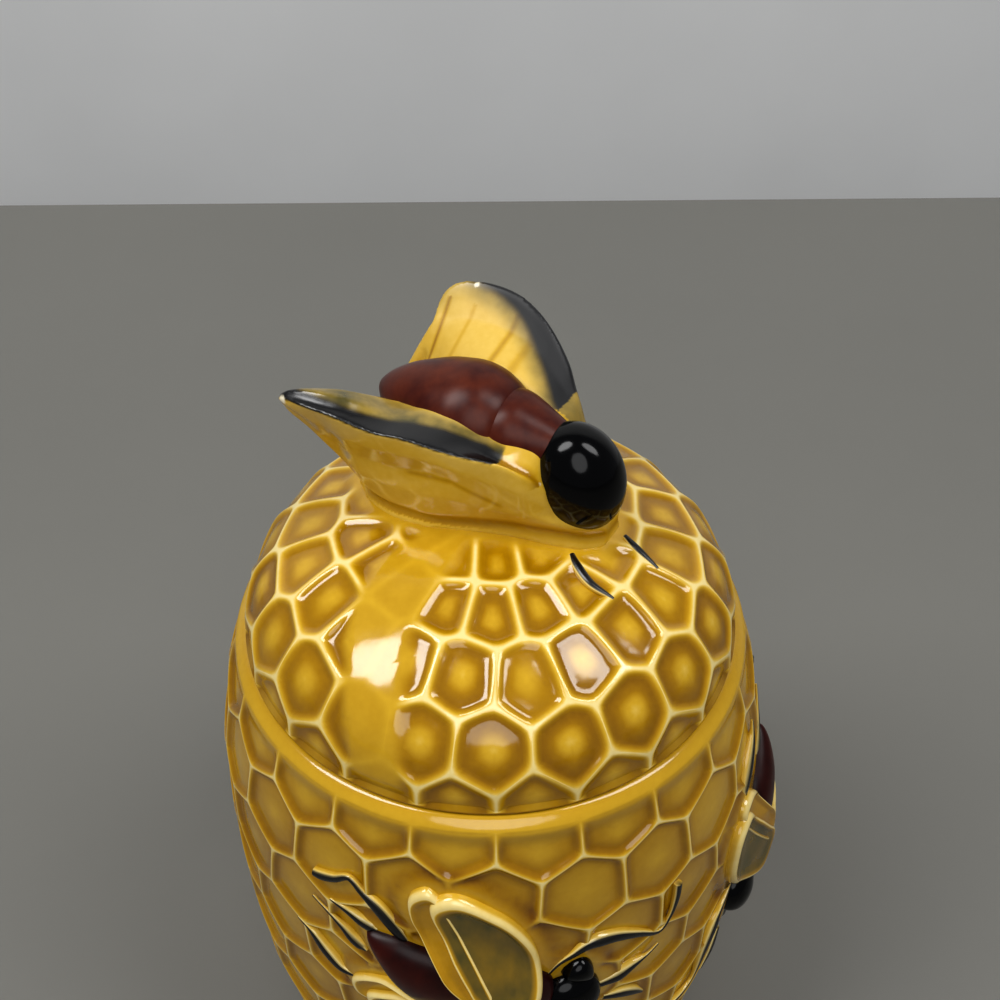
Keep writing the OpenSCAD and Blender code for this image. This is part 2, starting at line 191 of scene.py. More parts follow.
def make_piece(name: str, points: Array, faces: Sequence, **attributes: Array) -> bpy.types.Object:
    """Makes a smooth mesh object at the origin.

    Args:
        name: Name of the piece.
        points: Its vertices in millimetres.
        faces: Lists of vertex numbers, counted to the left as seen from outside.
        attributes: One number for each vertex, under each attribute's name.

    Returns:
        The new object, linked to the scene.
    """
    mesh = bpy.data.meshes.new(name)
    mesh.from_pydata((np.asarray(points) * MM).tolist(), [], [list(map(int, f)) for f in faces])
    for key, values in attributes.items():
        set_layer(mesh, key, values)
    mesh.polygons.foreach_set("use_smooth", [True] * len(mesh.polygons))
    mesh.update()
    return linked(name, mesh)


def closed_loft(rings: Array, first: Array, last: Array) -> Shape:
    """Closes a tube of rings with a point at each end.

    Args:
        rings: Points as [ring, place in the ring, coordinate].
        first: The point before the first ring.
        last: The point after the last ring.

    Returns:
        The points and the faces.
    """
    count, around = rings.shape[:2]
    points = np.vstack([rings.reshape(-1, 3), first, last])
    faces = []
    for k in range(count - 1):
        for i in range(around):
            j = (i + 1) % around
            faces.append((k * around + i, k * around + j, (k + 1) * around + j, (k + 1) * around + i))
    low, high = count * around, count * around + 1
    faces += [(low, (i + 1) % around, i) for i in range(around)]
    base = (count - 1) * around
    faces += [(high, base + i, base + (i + 1) % around) for i in range(around)]
    return points, faces


def outward(points: Array, faces: list) -> list:
    """Turns the faces of a closed shape so that they all point outwards.

    Args:
        points: Its points.
        faces: Its faces.

    Returns:
        The faces.
    """
    volume = 0.0
    for face in faces:
        a = points[face[0]]
        for m in range(1, len(face) - 1):
            volume += float(np.dot(a, np.cross(points[face[m]], points[face[m + 1]])))
    return faces if volume > 0 else [tuple(reversed(face)) for face in faces]


def merged(shapes: Sequence[Shape]) -> Shape:
    """Puts shapes together.

    Args:
        shapes: The points and the faces of each.

    Returns:
        The points and the faces of all of them.
    """
    faces, first = [], 0
    for points, more in shapes:
        faces += [tuple(v + first for v in face) for face in more]
        first += len(points)
    return np.vstack([points for points, _ in shapes]), faces


class Wiring:
    """Adds nodes to a node tree and links them."""

    def __init__(self, tree: bpy.types.NodeTree) -> None:
        """Takes the tree's nodes and links."""
        self.nodes, self.links = tree.nodes, tree.links

    def feed(self, socket: Socket, source: object) -> None:
        """Links an input to a socket, or sets it to a value.

        Args:
            socket: The input.
            source: The socket or the value.
        """
        if isinstance(source, bpy.types.NodeSocket):
            self.links.new(source, socket)
        else:
            socket.default_value = source

    def add(self, kind: str, inputs: dict | None = None, **settings: object) -> bpy.types.Node:
        """Adds a node.

        Args:
            kind: The node's type.
            inputs: Sockets or values for its inputs, by their names or places.
            settings: The node's own properties.

        Returns:
            The node.
        """
        node = self.nodes.new(kind)
        for key, value in settings.items():
            setattr(node, key, value)
        for key, source in (inputs or {}).items():
            self.feed(node.inputs[key], source)
        return node

    def math(self, kind: str, first: Socket | float, second: Socket | float) -> Socket:
        """Adds a Math node and returns its result."""
        return self.add("ShaderNodeMath", {0: first, 1: second}, operation=kind).outputs[0]

    def swing(self, source: Socket, size: Socket | float) -> Socket:
        """Turns a noise into a swing of a size round zero."""
        return self.math("MULTIPLY", self.math("SUBTRACT", source, 0.5), size)

    def named(self, key: str) -> Socket:
        """Reads an attribute in a Geometry Nodes tree."""
        return self.add("GeometryNodeInputNamedAttribute", {"Name": key}, data_type="FLOAT").outputs["Attribute"]


class MeshTree(Wiring):
    """A Geometry Nodes tree that takes a mesh, numbers and a material."""

    def __init__(self, name: str, numbers: Sequence[str], counts: Sequence[str] = ()) -> None:
        """Makes the tree and its sockets.

        Args:
            name: Name of the tree.
            numbers: Names of its inputs for sizes.
            counts: Names of its inputs for whole numbers.
        """
        self.tree = bpy.data.node_groups.new(name, "GeometryNodeTree")
        face = self.tree.interface
        kinds = {"Geometry": "Geometry", **dict.fromkeys(numbers, "Float"), **dict.fromkeys(counts, "Int"),
                 "Material": "Material"}
        for label, kind in kinds.items():
            face.new_socket(label, in_out="INPUT", socket_type="NodeSocket" + kind)
        face.new_socket("Geometry", in_out="OUTPUT", socket_type="NodeSocketGeometry")
        super().__init__(self.tree)
        self.given = self.add("NodeGroupInput").outputs

    def end(self, geometry: Socket) -> None:
        """Ends the tree with real geometry in its material.

        Args:
            geometry: The geometry to end with.
        """
        real = self.add("GeometryNodeRealizeInstances", {0: geometry}).outputs[0]
        dressed = self.add("GeometryNodeSetMaterial", {"Geometry": real, "Material": self.given["Material"]})
        self.add("NodeGroupOutput", {0: dressed.outputs[0]})

    def run(self, piece: bpy.types.Object, values: dict) -> None:
        """Gives a piece the tree with its inputs, and keeps the result as the piece's plain mesh.

        Args:
            piece: The object to change.
            values: The tree's inputs by their names.
        """
        modifier = piece.modifiers.new("tree", "NODES")
        modifier.node_group = self.tree
        sockets = {item.name: item.identifier for item in self.tree.interface.items_tree if item.in_out == "INPUT"}
        for label, value in values.items():
            modifier[sockets[label]] = value
        piece.update_tag()
        graph = bpy.context.evaluated_depsgraph_get()
        made = bpy.data.meshes.new_from_object(piece.evaluated_get(graph), preserve_all_data_layers=True,
                                               depsgraph=graph)
        piece.modifiers.remove(modifier)
        keep_mesh(piece, made)


@dataclass
class HiveForm:
    """The outlines of the pot and of the lid's dome, in millimetres."""

    seat_z: float
    lid_r: float
    belly_r: float = 45.8
    belly_drop: float = 33.0
    shoulder_r: float = 40.5
    base_r: float = 38.8
    belly_power: float = 2.9
    dome_h: float = 22.2
    dome_power: float = 2.4
    rim_round: float = 3.1
    rim_reach: float = 2.6
    foot_h: float = 4.0
    arc_steps: int = 400
    arc: Array = field(init=False)
    arc_rz: Array = field(init=False)

    def __post_init__(self) -> None:
        """Works out the length along the dome's outline, from its crown to its edge."""
        angles = np.linspace(math.pi / 2, 0, self.arc_steps)
        reach = ((np.cos(angles) / self.lid_r) ** self.dome_power
                 + (np.sin(angles) / self.dome_h) ** self.dome_power) ** (-1 / self.dome_power)
        self.arc_rz = np.stack([reach * np.cos(angles), reach * np.sin(angles)], 1)
        steps = np.linalg.norm(np.diff(self.arc_rz, axis=0), axis=1)
        self.arc = np.concatenate([[0], np.cumsum(steps)])

    @property
    def dome_length(self) -> float:
        """Length along the dome from its crown to its edge."""
        return float(self.arc[-1])

    def wall_r(self, z: Array) -> Array:
        """Works out the radius of the pot's wall.

        Args:
            z: Heights over the ground.

        Returns:
            The radii.
        """
        drop = self.seat_z - np.asarray(z, float)
        up = np.clip(self.belly_drop - drop, 0, None) / self.belly_drop
        down = np.clip(drop - self.belly_drop, 0, None) / (self.seat_z - self.belly_drop)
        upper = np.sqrt(1 - (1 - (self.shoulder_r / self.belly_r) ** 2) * up ** 2)
        lower = (1 - (1 - (self.base_r / self.belly_r) ** self.belly_power)
                 * down ** self.belly_power) ** (1 / self.belly_power)
        over = np.clip(self.rim_reach - drop, 0, self.rim_reach)
        bend = self.rim_round - np.sqrt(self.rim_round ** 2 - over ** 2)
        return self.belly_r * np.where(drop < self.belly_drop, upper, lower) - bend

    def wall_place(self, net: Array) -> tuple[Array, Array]:
        """Puts points of the wall's flat net on the wall.

        Args:
            net: Distance round the belly from the front, and height over the ground.

        Returns:
            The points and the wall's normals there.
        """
        turn, z = net[..., 0] / self.belly_r, net[..., 1]
        radius = self.wall_r(z)
        slope = (self.wall_r(z + 0.1) - self.wall_r(z - 0.1)) / 0.2
        points = np.stack([radius * np.sin(turn), -radius * np.cos(turn), z], -1)
        return points, unit(np.stack([np.sin(turn), -np.cos(turn), -slope], -1))

    def dome_place(self, net: Array) -> tuple[Array, Array]:
        """Puts points of the dome's flat net on the dome.

        Args:
            net: Points whose distance from the net's centre is the length from the crown.

        Returns:
            The points and the dome's normals there.
        """
        length = np.linalg.norm(net, axis=-1)
        away = net / np.maximum(length, 1e-9)[..., None]
        radius = np.interp(length, self.arc, self.arc_rz[:, 0])
        height = np.interp(length, self.arc, self.arc_rz[:, 1])
        points = np.concatenate([away * radius[..., None], (self.seat_z + height)[..., None]], -1)
        outward_share = (radius / self.lid_r) ** (self.dome_power - 1) / self.lid_r
        upward_share = (np.clip(height, 0, None) / self.dome_h) ** (self.dome_power - 1) / self.dome_h
        normals = np.concatenate([away * outward_share[..., None], upward_share[..., None]], -1)
        return points, unit(normals)

    def dome_z(self, radius: Array) -> Array:
        """Returns the dome's height over the ground at distances from the axis."""
        share = np.clip(np.asarray(radius, float) / self.lid_r, 0, 1)
        return self.seat_z + self.dome_h * (1 - share ** self.dome_power) ** (1 / self.dome_power)


@dataclass
class CellNet:
    """A net of honeycomb cells round seeds on a flat net, laid on a curved surface."""

    seeds: Array
    ghosts: Array
    place: Callable[[Array], tuple[Array, Array]]
    snap: Callable[[Array], tuple[Array, Array]]
    period: float | None = None
    edge_steps: int = 8
    ring_shares: tuple[float, ...] = (0.03, 0.06, 0.095, 0.135, 0.19, 0.27, 0.38, 0.54, 0.75)
    corner_softness: float = 2.6
    join_reach: float = 0.08
    seed: int = 7
    points: list = field(default_factory=list)
    distance: list = field(default_factory=list)
    tone: list = field(default_factory=list)
    centre: list = field(default_factory=list)
    faces: list = field(default_factory=list)
    corners: list = field(default_factory=list)
    sides: dict = field(default_factory=dict)
    border: dict = field(default_factory=dict)

    def near(self, point: Array, other: Array) -> Array:
        """Moves a point of the net by whole turns so that it lies next to another.

        Args:
            point: The point.
            other: The other point.

        Returns:
            The moved point.
        """
        if self.period is None:
            return point
        moved = point.copy()
        moved[0] += self.period * round((other[0] - point[0]) / self.period)
        return moved

    def corner(self, point: Array) -> int:
        """Finds or makes the corner at a point, which neighbouring cells share.

        Args:
            point: The point on the net.

        Returns:
            The corner's number.
        """
        for number, known in enumerate(self.corners):
            if np.linalg.norm(self.near(known, point) - point) < self.join_reach:
                return number
        self.corners.append(point)
        return len(self.corners) - 1

    def polygons(self) -> list[list[int]]:
        """Works out the cells from their seeds.

        Returns:
            Each seed's cell as numbers of its corners, counted to the left.
        """
        everything = np.vstack([self.seeds, self.ghosts])
        out, _, triangles, origin, _, _ = delaunay_2d_cdt([Vector(p) for p in everything], [], [], 0, 1e-7)
        around: dict[int, list[Array]] = {}
        for triangle in triangles:
            a, b, c = (np.array(out[i], float) for i in triangle)
            d = 2 * (a[0] * (b[1] - c[1]) + b[0] * (c[1] - a[1]) + c[0] * (a[1] - b[1]))
            if abs(d) < 1e-9:
                continue
            aa, bb, cc = a @ a, b @ b, c @ c
            middle = np.array([aa * (b[1] - c[1]) + bb * (c[1] - a[1]) + cc * (a[1] - b[1]),
                               aa * (c[0] - b[0]) + bb * (a[0] - c[0]) + cc * (b[0] - a[0])]) / d
            for i in triangle:
                for number in origin[i]:
                    around.setdefault(number, []).append(middle)
        cells = []
        for number, seed in enumerate(self.seeds):
            ring = sorted(around[number], key=lambda p: math.atan2(p[1] - seed[1], p[0] - seed[0]))
            cell = []
            for point in ring:
                snapped, _ = self.snap(point)
                found = self.corner(snapped)
                if found not in cell:
                    cell.append(found)
            cells.append(cell)
        return cells

    def add(self, net_points: Array, distance: Array, tone: float, centre: Array) -> list[int]:
        """Adds vertices on the surface.

        Args:
            net_points: Their places on the net.
            distance: How far each lies from the ridges.
            tone: The cell's tone.
            centre: How far each lies from the cell's middle.

        Returns:
            Their numbers.
        """
        placed, _ = self.place(net_points)
        first = len(self.points)
        self.points.extend(placed)
        self.distance.extend(distance)
        self.tone.extend([tone] * len(placed))
        self.centre.extend(centre)
        return list(range(first, first + len(placed)))

    def side(self, start: int, end: int) -> list[int]:
        """Finds or makes the vertices along a side, which two cells share.

        Args:
            start: The corner it starts from.
            end: The corner it ends at.

        Returns:
            The vertices' numbers.
        """
        key = (min(start, end), max(start, end))
        if key not in self.sides:
            low = self.corners[key[0]]
            high = self.near(self.corners[key[1]], low)
            shares = np.linspace(0, 1, self.edge_steps + 1)[:, None]
            line = low + (high - low) * shares
            on_border = self.snap(low)[1] == self.snap(high)[1] != 0
            if on_border:
                line = np.array([self.snap(p)[0] for p in line])
            ends = [self.vertex(key[0]), self.vertex(key[1])]
            inner = self.add(line[1:-1], np.zeros(len(line) - 2), 0.5, np.zeros(len(line) - 2))
            self.sides[key] = [ends[0], *inner, ends[1]]
            if on_border:
                self.border.setdefault(int(self.snap(low)[1]), set()).update(self.sides[key])
        run = self.sides[key]
        return run if start < end else run[::-1]

    def vertex(self, corner: int) -> int:
        """Finds or makes the vertex at a corner.

        Args:
            corner: The corner.

        Returns:
            The vertex's number.
        """
        key = (corner, corner)
        if key not in self.sides:
            self.sides[key] = self.add(self.corners[corner][None], np.zeros(1), 0.5, np.zeros(1))
        return self.sides[key][0]

    def build(self) -> None:
        """Makes the vertices and faces of all the cells, on the smooth surface."""
        random = np.random.default_rng(self.seed)
        for cell, seed in zip(self.polygons(), self.seeds):
            tone = float(random.uniform(0, 1))
            loop = [v for n in range(len(cell)) for v in self.side(cell[n], cell[(n + 1) % len(cell)])[:-1]]
            flat = np.array([self.near(self.corners[c], seed) for c in cell])
            outline = []
            for n in range(len(cell)):
                start, end = flat[n], flat[(n + 1) % len(cell)]
                shares = np.arange(self.edge_steps)[:, None] / self.edge_steps
                outline.append(start + (end - start) * shares)
            outline = np.vstack(outline)
            middle = flat.mean(0)
            corners_3d, _ = self.place(flat)
            centre_3d, _ = self.place(middle[None])
            on = [self.snap(corner)[1] for corner in flat]
            ridged = np.array([not on[n] == on[(n + 1) % len(on)] != 0 for n in range(len(on))])
            if not ridged.all():
                open_loop = [v for n in np.flatnonzero(~ridged) for v in
                             self.side(cell[n], cell[(n + 1) % len(cell)])[1:-1]]
                for v, depth in zip(open_loop, self.inset(np.array([self.points[v] for v in open_loop]),
                                                          corners_3d, ridged)):
                    self.distance[v], self.tone[v], self.centre[v] = depth, tone, FAR_OUT
            previous = loop
            for share in self.ring_shares:
                ring = outline + (middle - outline) * share
                placed, _ = self.place(ring)
                numbers = self.add(ring, self.inset(placed, corners_3d, ridged), tone,
                                   np.linalg.norm(placed - centre_3d, axis=1))
                self.faces += [(previous[i], previous[(i + 1) % len(loop)], numbers[(i + 1) % len(loop)],
                                numbers[i]) for i in range(len(loop))]
                previous = numbers
            tip = self.add(middle[None], self.inset(centre_3d, corners_3d, ridged), tone, np.zeros(1))[0]
            self.faces += [(previous[i], previous[(i + 1) % len(loop)], tip) for i in range(len(loop))]

    def inset(self, points: Array, corners: Array, ridged: Array) -> Array:
        """Measures how far points lie from the ridged sides of a cell, rounded at its corners.

        Args:
            points: The points.
            corners: The cell's corners.
            ridged: Which of its sides have a ridge.

        Returns:
            The distances.
        """
        start, end = corners[ridged], np.roll(corners, -1, 0)[ridged]
        along = end - start
        share = np.einsum("pkc,kc->pk", points[:, None] - start, along) / np.einsum("kc,kc->k", along, along)
        foot = start + np.clip(share, 0, 1)[..., None] * along
        apart = np.linalg.norm(points[:, None] - foot, axis=2)
        nearest = apart.min(1)
        crowd = np.exp(-self.corner_softness * (apart - nearest[:, None])).sum(1)
        return np.clip(nearest - np.log(crowd) / self.corner_softness, 0, None)


def border_order(net: CellNet, which: int) -> list[int]:
    """Sorts the vertices of a border by their turn round the axis.

    Args:
        net: The net.
        which: The border, 1 or -1.

    Returns:
        The vertices' numbers.
    """
    found = list(net.border[which])
    turns = [math.atan2(net.points[v][0], -net.points[v][1]) for v in found]
    return [v for _, v in sorted(zip(turns, found))]


@dataclass(frozen=True)
class Relief:
    """Sizes of a honeycomb relief, in millimetres, and the tree that presses it into a surface."""

    ridge_half: float = 0.2
    slope: float = 1.5
    depth: float = 1.2
    centre_rise: float = 0.0
    rise_reach: float = 3.2
    waver: float = 0.12
    waver_scale: float = 90
    seed: int = 3

    def tree(self) -> MeshTree:
        """Builds the tree that sinks the cells below their ridges.

        Returns:
            The tree.
        """
        tree = MeshTree("honeycomb_relief", (
            "Ridge Half Width", "Slope Width", "Cell Depth", "Centre Rise", "Rise Reach", "Waver", "Seed"))
        given = tree.given

        def ramp(value: Socket, low: Socket | float, high: Socket | float) -> Socket:
            """Rises smoothly from 0 at low to 1 at high."""
            return tree.add("ShaderNodeMapRange", {"Value": value, "From Min": low, "From Max": high},
                            interpolation_type="SMOOTHSTEP").outputs["Result"]

        inset = tree.named("inset")
        foot = tree.math("ADD", given["Ridge Half Width"], given["Slope Width"])
        sunk = tree.math("MULTIPLY", ramp(inset, given["Ridge Half Width"], foot), given["Cell Depth"])
        crown = tree.math("SUBTRACT", 1.0, ramp(tree.named("from_centre"), 0.0, given["Rise Reach"]))
        raised = tree.math("MULTIPLY", tree.math("MULTIPLY", crown, given["Centre Rise"]), ramp(inset, 0.5, 2.0))
        noise = tree.add("ShaderNodeTexNoise", {"Scale": self.waver_scale, "Detail": 1, "W": given["Seed"]},
                         noise_dimensions="4D")
        depth = tree.math("MULTIPLY", tree.math("SUBTRACT", sunk, raised), tree.named("relief"))
        pressed = tree.math("ADD", depth, tree.swing(noise.outputs[0], given["Waver"]))
        in_metres = tree.math("MULTIPLY", tree.math("MULTIPLY", pressed, tree.named("skin")), -MM)
        normal = tree.add("GeometryNodeInputNormal").outputs[0]
        offset = tree.add("ShaderNodeVectorMath", {0: normal, "Scale": in_metres}, operation="SCALE")
        moved = tree.add("GeometryNodeSetPosition", {"Geometry": given["Geometry"], "Offset": offset.outputs[0]})
        tree.end(moved.outputs[0])
        return tree

    def press(self, piece: bpy.types.Object, glaze: bpy.types.Material) -> None:
        """Runs the tree on a piece and keeps the result as its plain mesh.

        Args:
            piece: The piece.
            glaze: The material it keeps.
        """
        self.tree().run(piece, {
            "Ridge Half Width": self.ridge_half, "Slope Width": self.slope, "Cell Depth": self.depth,
            "Centre Rise": self.centre_rise, "Rise Reach": self.rise_reach, "Waver": self.waver,
            "Seed": float(self.seed), "Material": glaze})


@dataclass(frozen=True)
class Glaze:
    """A glossy pottery glaze whose colour follows how thick it pools."""

    name: str
    stops: tuple[tuple[float, Colour], ...]
    roughness: float = 0.12
    ior: float = 1.5
    mottle: float = 0.10
    streaks: float = 0.0
    painted: bool = False
    paint_dull: float = 0.15
    satin_dull: float = 0.36
    cloud_scale: float = 70
    speck_scale: float = 900
    streak_scale: float = 300
    streak_stretch: float = 3.5
    brush_scale: float = 260
    brush_stretch: float = 2.0
    brush_cover: float = 0.84
    ripple_scale: float = 240
    ripple_h: float = 0.0002
    black: Colour = linear(8, 8, 11)
    olive: Colour = linear(84, 76, 34)
    # Colour of the bare chips, and of one painted white glint on the far wing's rim
    chip_and_glint: Colour = linear(238, 228, 200)

    def build(self) -> bpy.types.Material:
        """Makes the glaze's node material.

        Returns:
            The material.
        """
        material = bpy.data.materials.new(self.name)
        material.use_nodes = True
        wiring = Wiring(material.node_tree)
        shader = wiring.nodes["Principled BSDF"].inputs
        shader["Roughness"].default_value = self.roughness
        shader["IOR"].default_value = self.ior
        place = wiring.add("ShaderNodeTexCoord").outputs["Object"]

        def noise(scale: float, detail: float, source: Socket = place) -> Socket:
            """Adds a noise over the piece's own coordinates."""
            return wiring.add("ShaderNodeTexNoise", {"Vector": source, "Scale": scale, "Detail": detail}).outputs[0]

        def drawn_out(stretch: float) -> Socket:
            """Returns the piece's own coordinates drawn out upwards."""
            return wiring.add("ShaderNodeMapping", {"Vector": place, "Scale": (1, 1, 1 / stretch)}).outputs[0]

        def layer(key: str) -> Socket:
            """Reads one of the piece's attributes."""
            return wiring.add("ShaderNodeAttribute", attribute_name=key).outputs["Fac"]

        pool = wiring.math("ADD", layer("glaze"), wiring.swing(noise(self.cloud_scale, 3), self.mottle * 2))
        pool = wiring.math("ADD", pool, wiring.swing(noise(self.speck_scale, 2), self.mottle))
        if self.streaks:
            streak = noise(self.streak_scale, 3, drawn_out(self.streak_stretch))
            pool = wiring.math("ADD", pool, wiring.swing(streak, self.streaks))
        ramp = wiring.add("ShaderNodeValToRGB", {0: pool})
        while len(ramp.color_ramp.elements) < len(self.stops):
            ramp.color_ramp.elements.new(0.5)
        for element, (at, colour) in zip(ramp.color_ramp.elements, self.stops):
            element.position = at
            element.color = (*colour, 1)
        colour = ramp.outputs[0]
        if self.painted:
            brushed = wiring.swing(noise(self.brush_scale, 3, drawn_out(self.brush_stretch)), 1.0)
            brushed = wiring.math("ADD", self.brush_cover, brushed)
            shares = {"olive": wiring.math("MULTIPLY", layer("olive"), brushed), "black": layer("black"),
                      "chip_and_glint": layer("chip_and_glint")}
            for key, share in shares.items():
                colour = wiring.add("ShaderNodeMix", {"Factor": share, "A": colour, "B": (*getattr(self, key), 1)},
                                    data_type="RGBA").outputs["Result"]
            depth = wiring.math("MAXIMUM", layer("black"), wiring.math("MULTIPLY", layer("olive"), 0.6))
            dull = wiring.math("ADD", wiring.math("MULTIPLY", depth, self.paint_dull),
                               wiring.math("MULTIPLY", layer("satin"), self.satin_dull))
            wiring.feed(shader["Roughness"], wiring.math("ADD", dull, self.roughness))
        wiring.feed(shader["Base Color"], colour)
        bump = wiring.add("ShaderNodeBump", {"Strength": 0.3, "Distance": self.ripple_h,
                                             "Height": noise(self.ripple_scale, 2)})
        wiring.feed(shader["Normal"], bump.outputs[0])
        return material


HONEY_STOPS = ((0.0, linear(240, 218, 148)), (0.14, linear(228, 194, 96)), (0.36, linear(206, 164, 40)),
               (0.70, linear(168, 124, 4)), (1.0, linear(116, 74, 0)))
BROWN_STOPS = ((0.0, linear(126, 76, 42)), (0.3, linear(90, 38, 21)), (0.6, linear(60, 16, 10)),
               (1.0, linear(28, 6, 6)))
PLAIN_GLAZE = 0.45
TONE_SWING = 0.14
POOL = ((0, 0.0), (0.35, 0.05), (0.8, 0.28), (1.6, 0.66), (2.6, 0.82), (4.4, 0.80), (6.5, 0.70), (9, 0.60), (12, 0.56))
BLACK_STOPS = ((0.0, linear(4, 4, 5)), (1.0, linear(1, 1, 2)))


class Kiln:
    """Makes each glaze once and hands it out."""

    def __init__(self) -> None:
        """Makes the three glazes."""
        self.honey = Glaze("honey_glaze", HONEY_STOPS, ior=1.6, painted=True).build()
        self.brown = Glaze("brown_glaze", BROWN_STOPS, roughness=0.34, ior=1.33, mottle=0.16, streaks=0.6).build()
        self.black = Glaze("black_glaze", BLACK_STOPS, roughness=0.12, ior=1.33, mottle=0.2).build()


def dress(piece: bpy.types.Object, glaze: bpy.types.Material, body: Body, nodes: Sequence[str]) -> None:
    """Glazes a finished piece and makes it ride on its body in place of CAD nodes.

    Args:
        piece: The finished piece.
        glaze: Its material.
        body: The body that it rides on.
        nodes: The CAD nodes that it stands for.
    """
    piece.data.materials.clear()
    piece.data.materials.append(glaze)
    for key in ("glaze", "olive", "black", "chip_and_glint", "satin"):
        if key not in piece.data.attributes:
            set_layer(piece.data, key, np.full(len(piece.data.vertices), PLAIN_GLAZE if key == "glaze" else 0))
    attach(piece, body.value)
    if nodes:
        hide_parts(*nodes)
    LOG.info("%s: %d vertices, rides on %s, stands for %s", piece.name, len(piece.data.vertices), body.value,
             list(nodes))


def pooled(inset: Array, tone: Array, from_centre: Array, pale_centre_and_sheen: float, ridge: float) -> Array:
    """Returns how thick the glaze pools, from 0 on a ridge to 1 in the deepest part of a cell.

    Args:
        inset: Distance from the cell's ridges.
        tone: A number from 0 to 1 for each cell.
        from_centre: Distance from the cell's middle.
        pale_centre_and_sheen: How much paler each cell's middle is painted, for thinner glaze there and a painted
            sheen.
        ridge: Width of the pale band on each side of a ridge's middle.

    Returns:
        The thickness.
    """
    away, thick = np.array(POOL).T
    middle = (1 - smoothstep(0.5, 3.0, from_centre)) * smoothstep(1.5, 3, inset)
    # Each cell's middle is painted paler: partly thinner glaze, partly a painted sheen.
    light = pale_centre_and_sheen * (0.45 + 0.55 * tone) * middle
    return np.interp(inset, away * ridge, thick) + TONE_SWING * (tone - 0.5) * smoothstep(0.3, 1.5, inset) - light


@dataclass
class Shell:
    """A net of cells closed with smooth rings beyond its borders."""

    net: CellNet
    pale_centre_and_sheen: float
    ridge: float
    bare: float
    relief: Callable[[Array], Array]
    shade: Callable[[Array], Array] | None = None
    skin: list = field(default_factory=list)
    plain: dict = field(default_factory=dict)

    def close(self, which: int, line: Sequence[Triple], pole: Triple, upward: bool) -> None:
        """Adds rings from a border along an outline to a point on the axis.

        Args:
            which: The border, 1 or -1.
            line: Radius, height and glaze of each ring.
            pole: The same for the last point.
            upward: Whether the rings start from the net's upper border.
        """
        net = self.net
        order = border_order(net, which)
        start = np.array([net.points[v] for v in order])
        away = unit(start[:, :2])
        previous = order
        for radius, height, glaze in line:
            first = len(net.points)
            net.points.extend(np.column_stack([away * radius, np.full(len(order), height)]))
            numbers = list(range(first, first + len(order)))
            self.plain.update({v: glaze for v in numbers})
            self.join(previous, numbers, upward)
            previous = numbers
        tip = len(net.points)
        net.points.append(np.array([0, 0, pole[1]]))
        self.plain[tip] = pole[2]
        count = len(previous)
        for i in range(count):
            a, b = previous[i], previous[(i + 1) % count]
            net.faces.append((a, b, tip) if upward else (b, a, tip))

    def join(self, low: list[int], high: list[int], upward: bool) -> None:
        """Adds the faces between two rings.

        Args:
            low: Vertices of the ring before.
            high: Vertices of the ring after it.
            upward: Whether the rings run upwards on the outside.
        """
        count = len(low)
        for i in range(count):
            j = (i + 1) % count
            quad = (low[i], low[j], high[j], high[i])
            self.net.faces.append(quad if upward else quad[::-1])

    def piece(self, name: str) -> bpy.types.Object:
        """Makes the mesh with its attributes.

        Args:
            name: Name of the piece.

        Returns:
            The piece.
        """
        net, count = self.net, len(self.net.points)
        spare = count - len(net.distance)
        inset = np.concatenate([net.distance, np.zeros(spare)])
        from_centre = np.concatenate([net.centre, np.full(spare, FAR_OUT)])
        tone = np.concatenate([net.tone, np.full(spare, 0.5)])
        points = np.array(net.points)
        relief = self.relief(points)
        glaze = pooled(inset, tone, from_centre, self.pale_centre_and_sheen, self.ridge)
        glaze = self.bare + (glaze - self.bare) * (0.1 + 0.9 * relief)
        if self.shade:
            glaze += self.shade(points)
        skin = np.ones(count)
        for v, value in self.plain.items():
            glaze[v], skin[v] = value, 0
        for which in net.border:
            for v in net.border[which]:
                skin[v] = 0
        return make_piece(name, points, net.faces, inset=inset, from_centre=from_centre, relief=relief, skin=skin,
                          glaze=glaze)


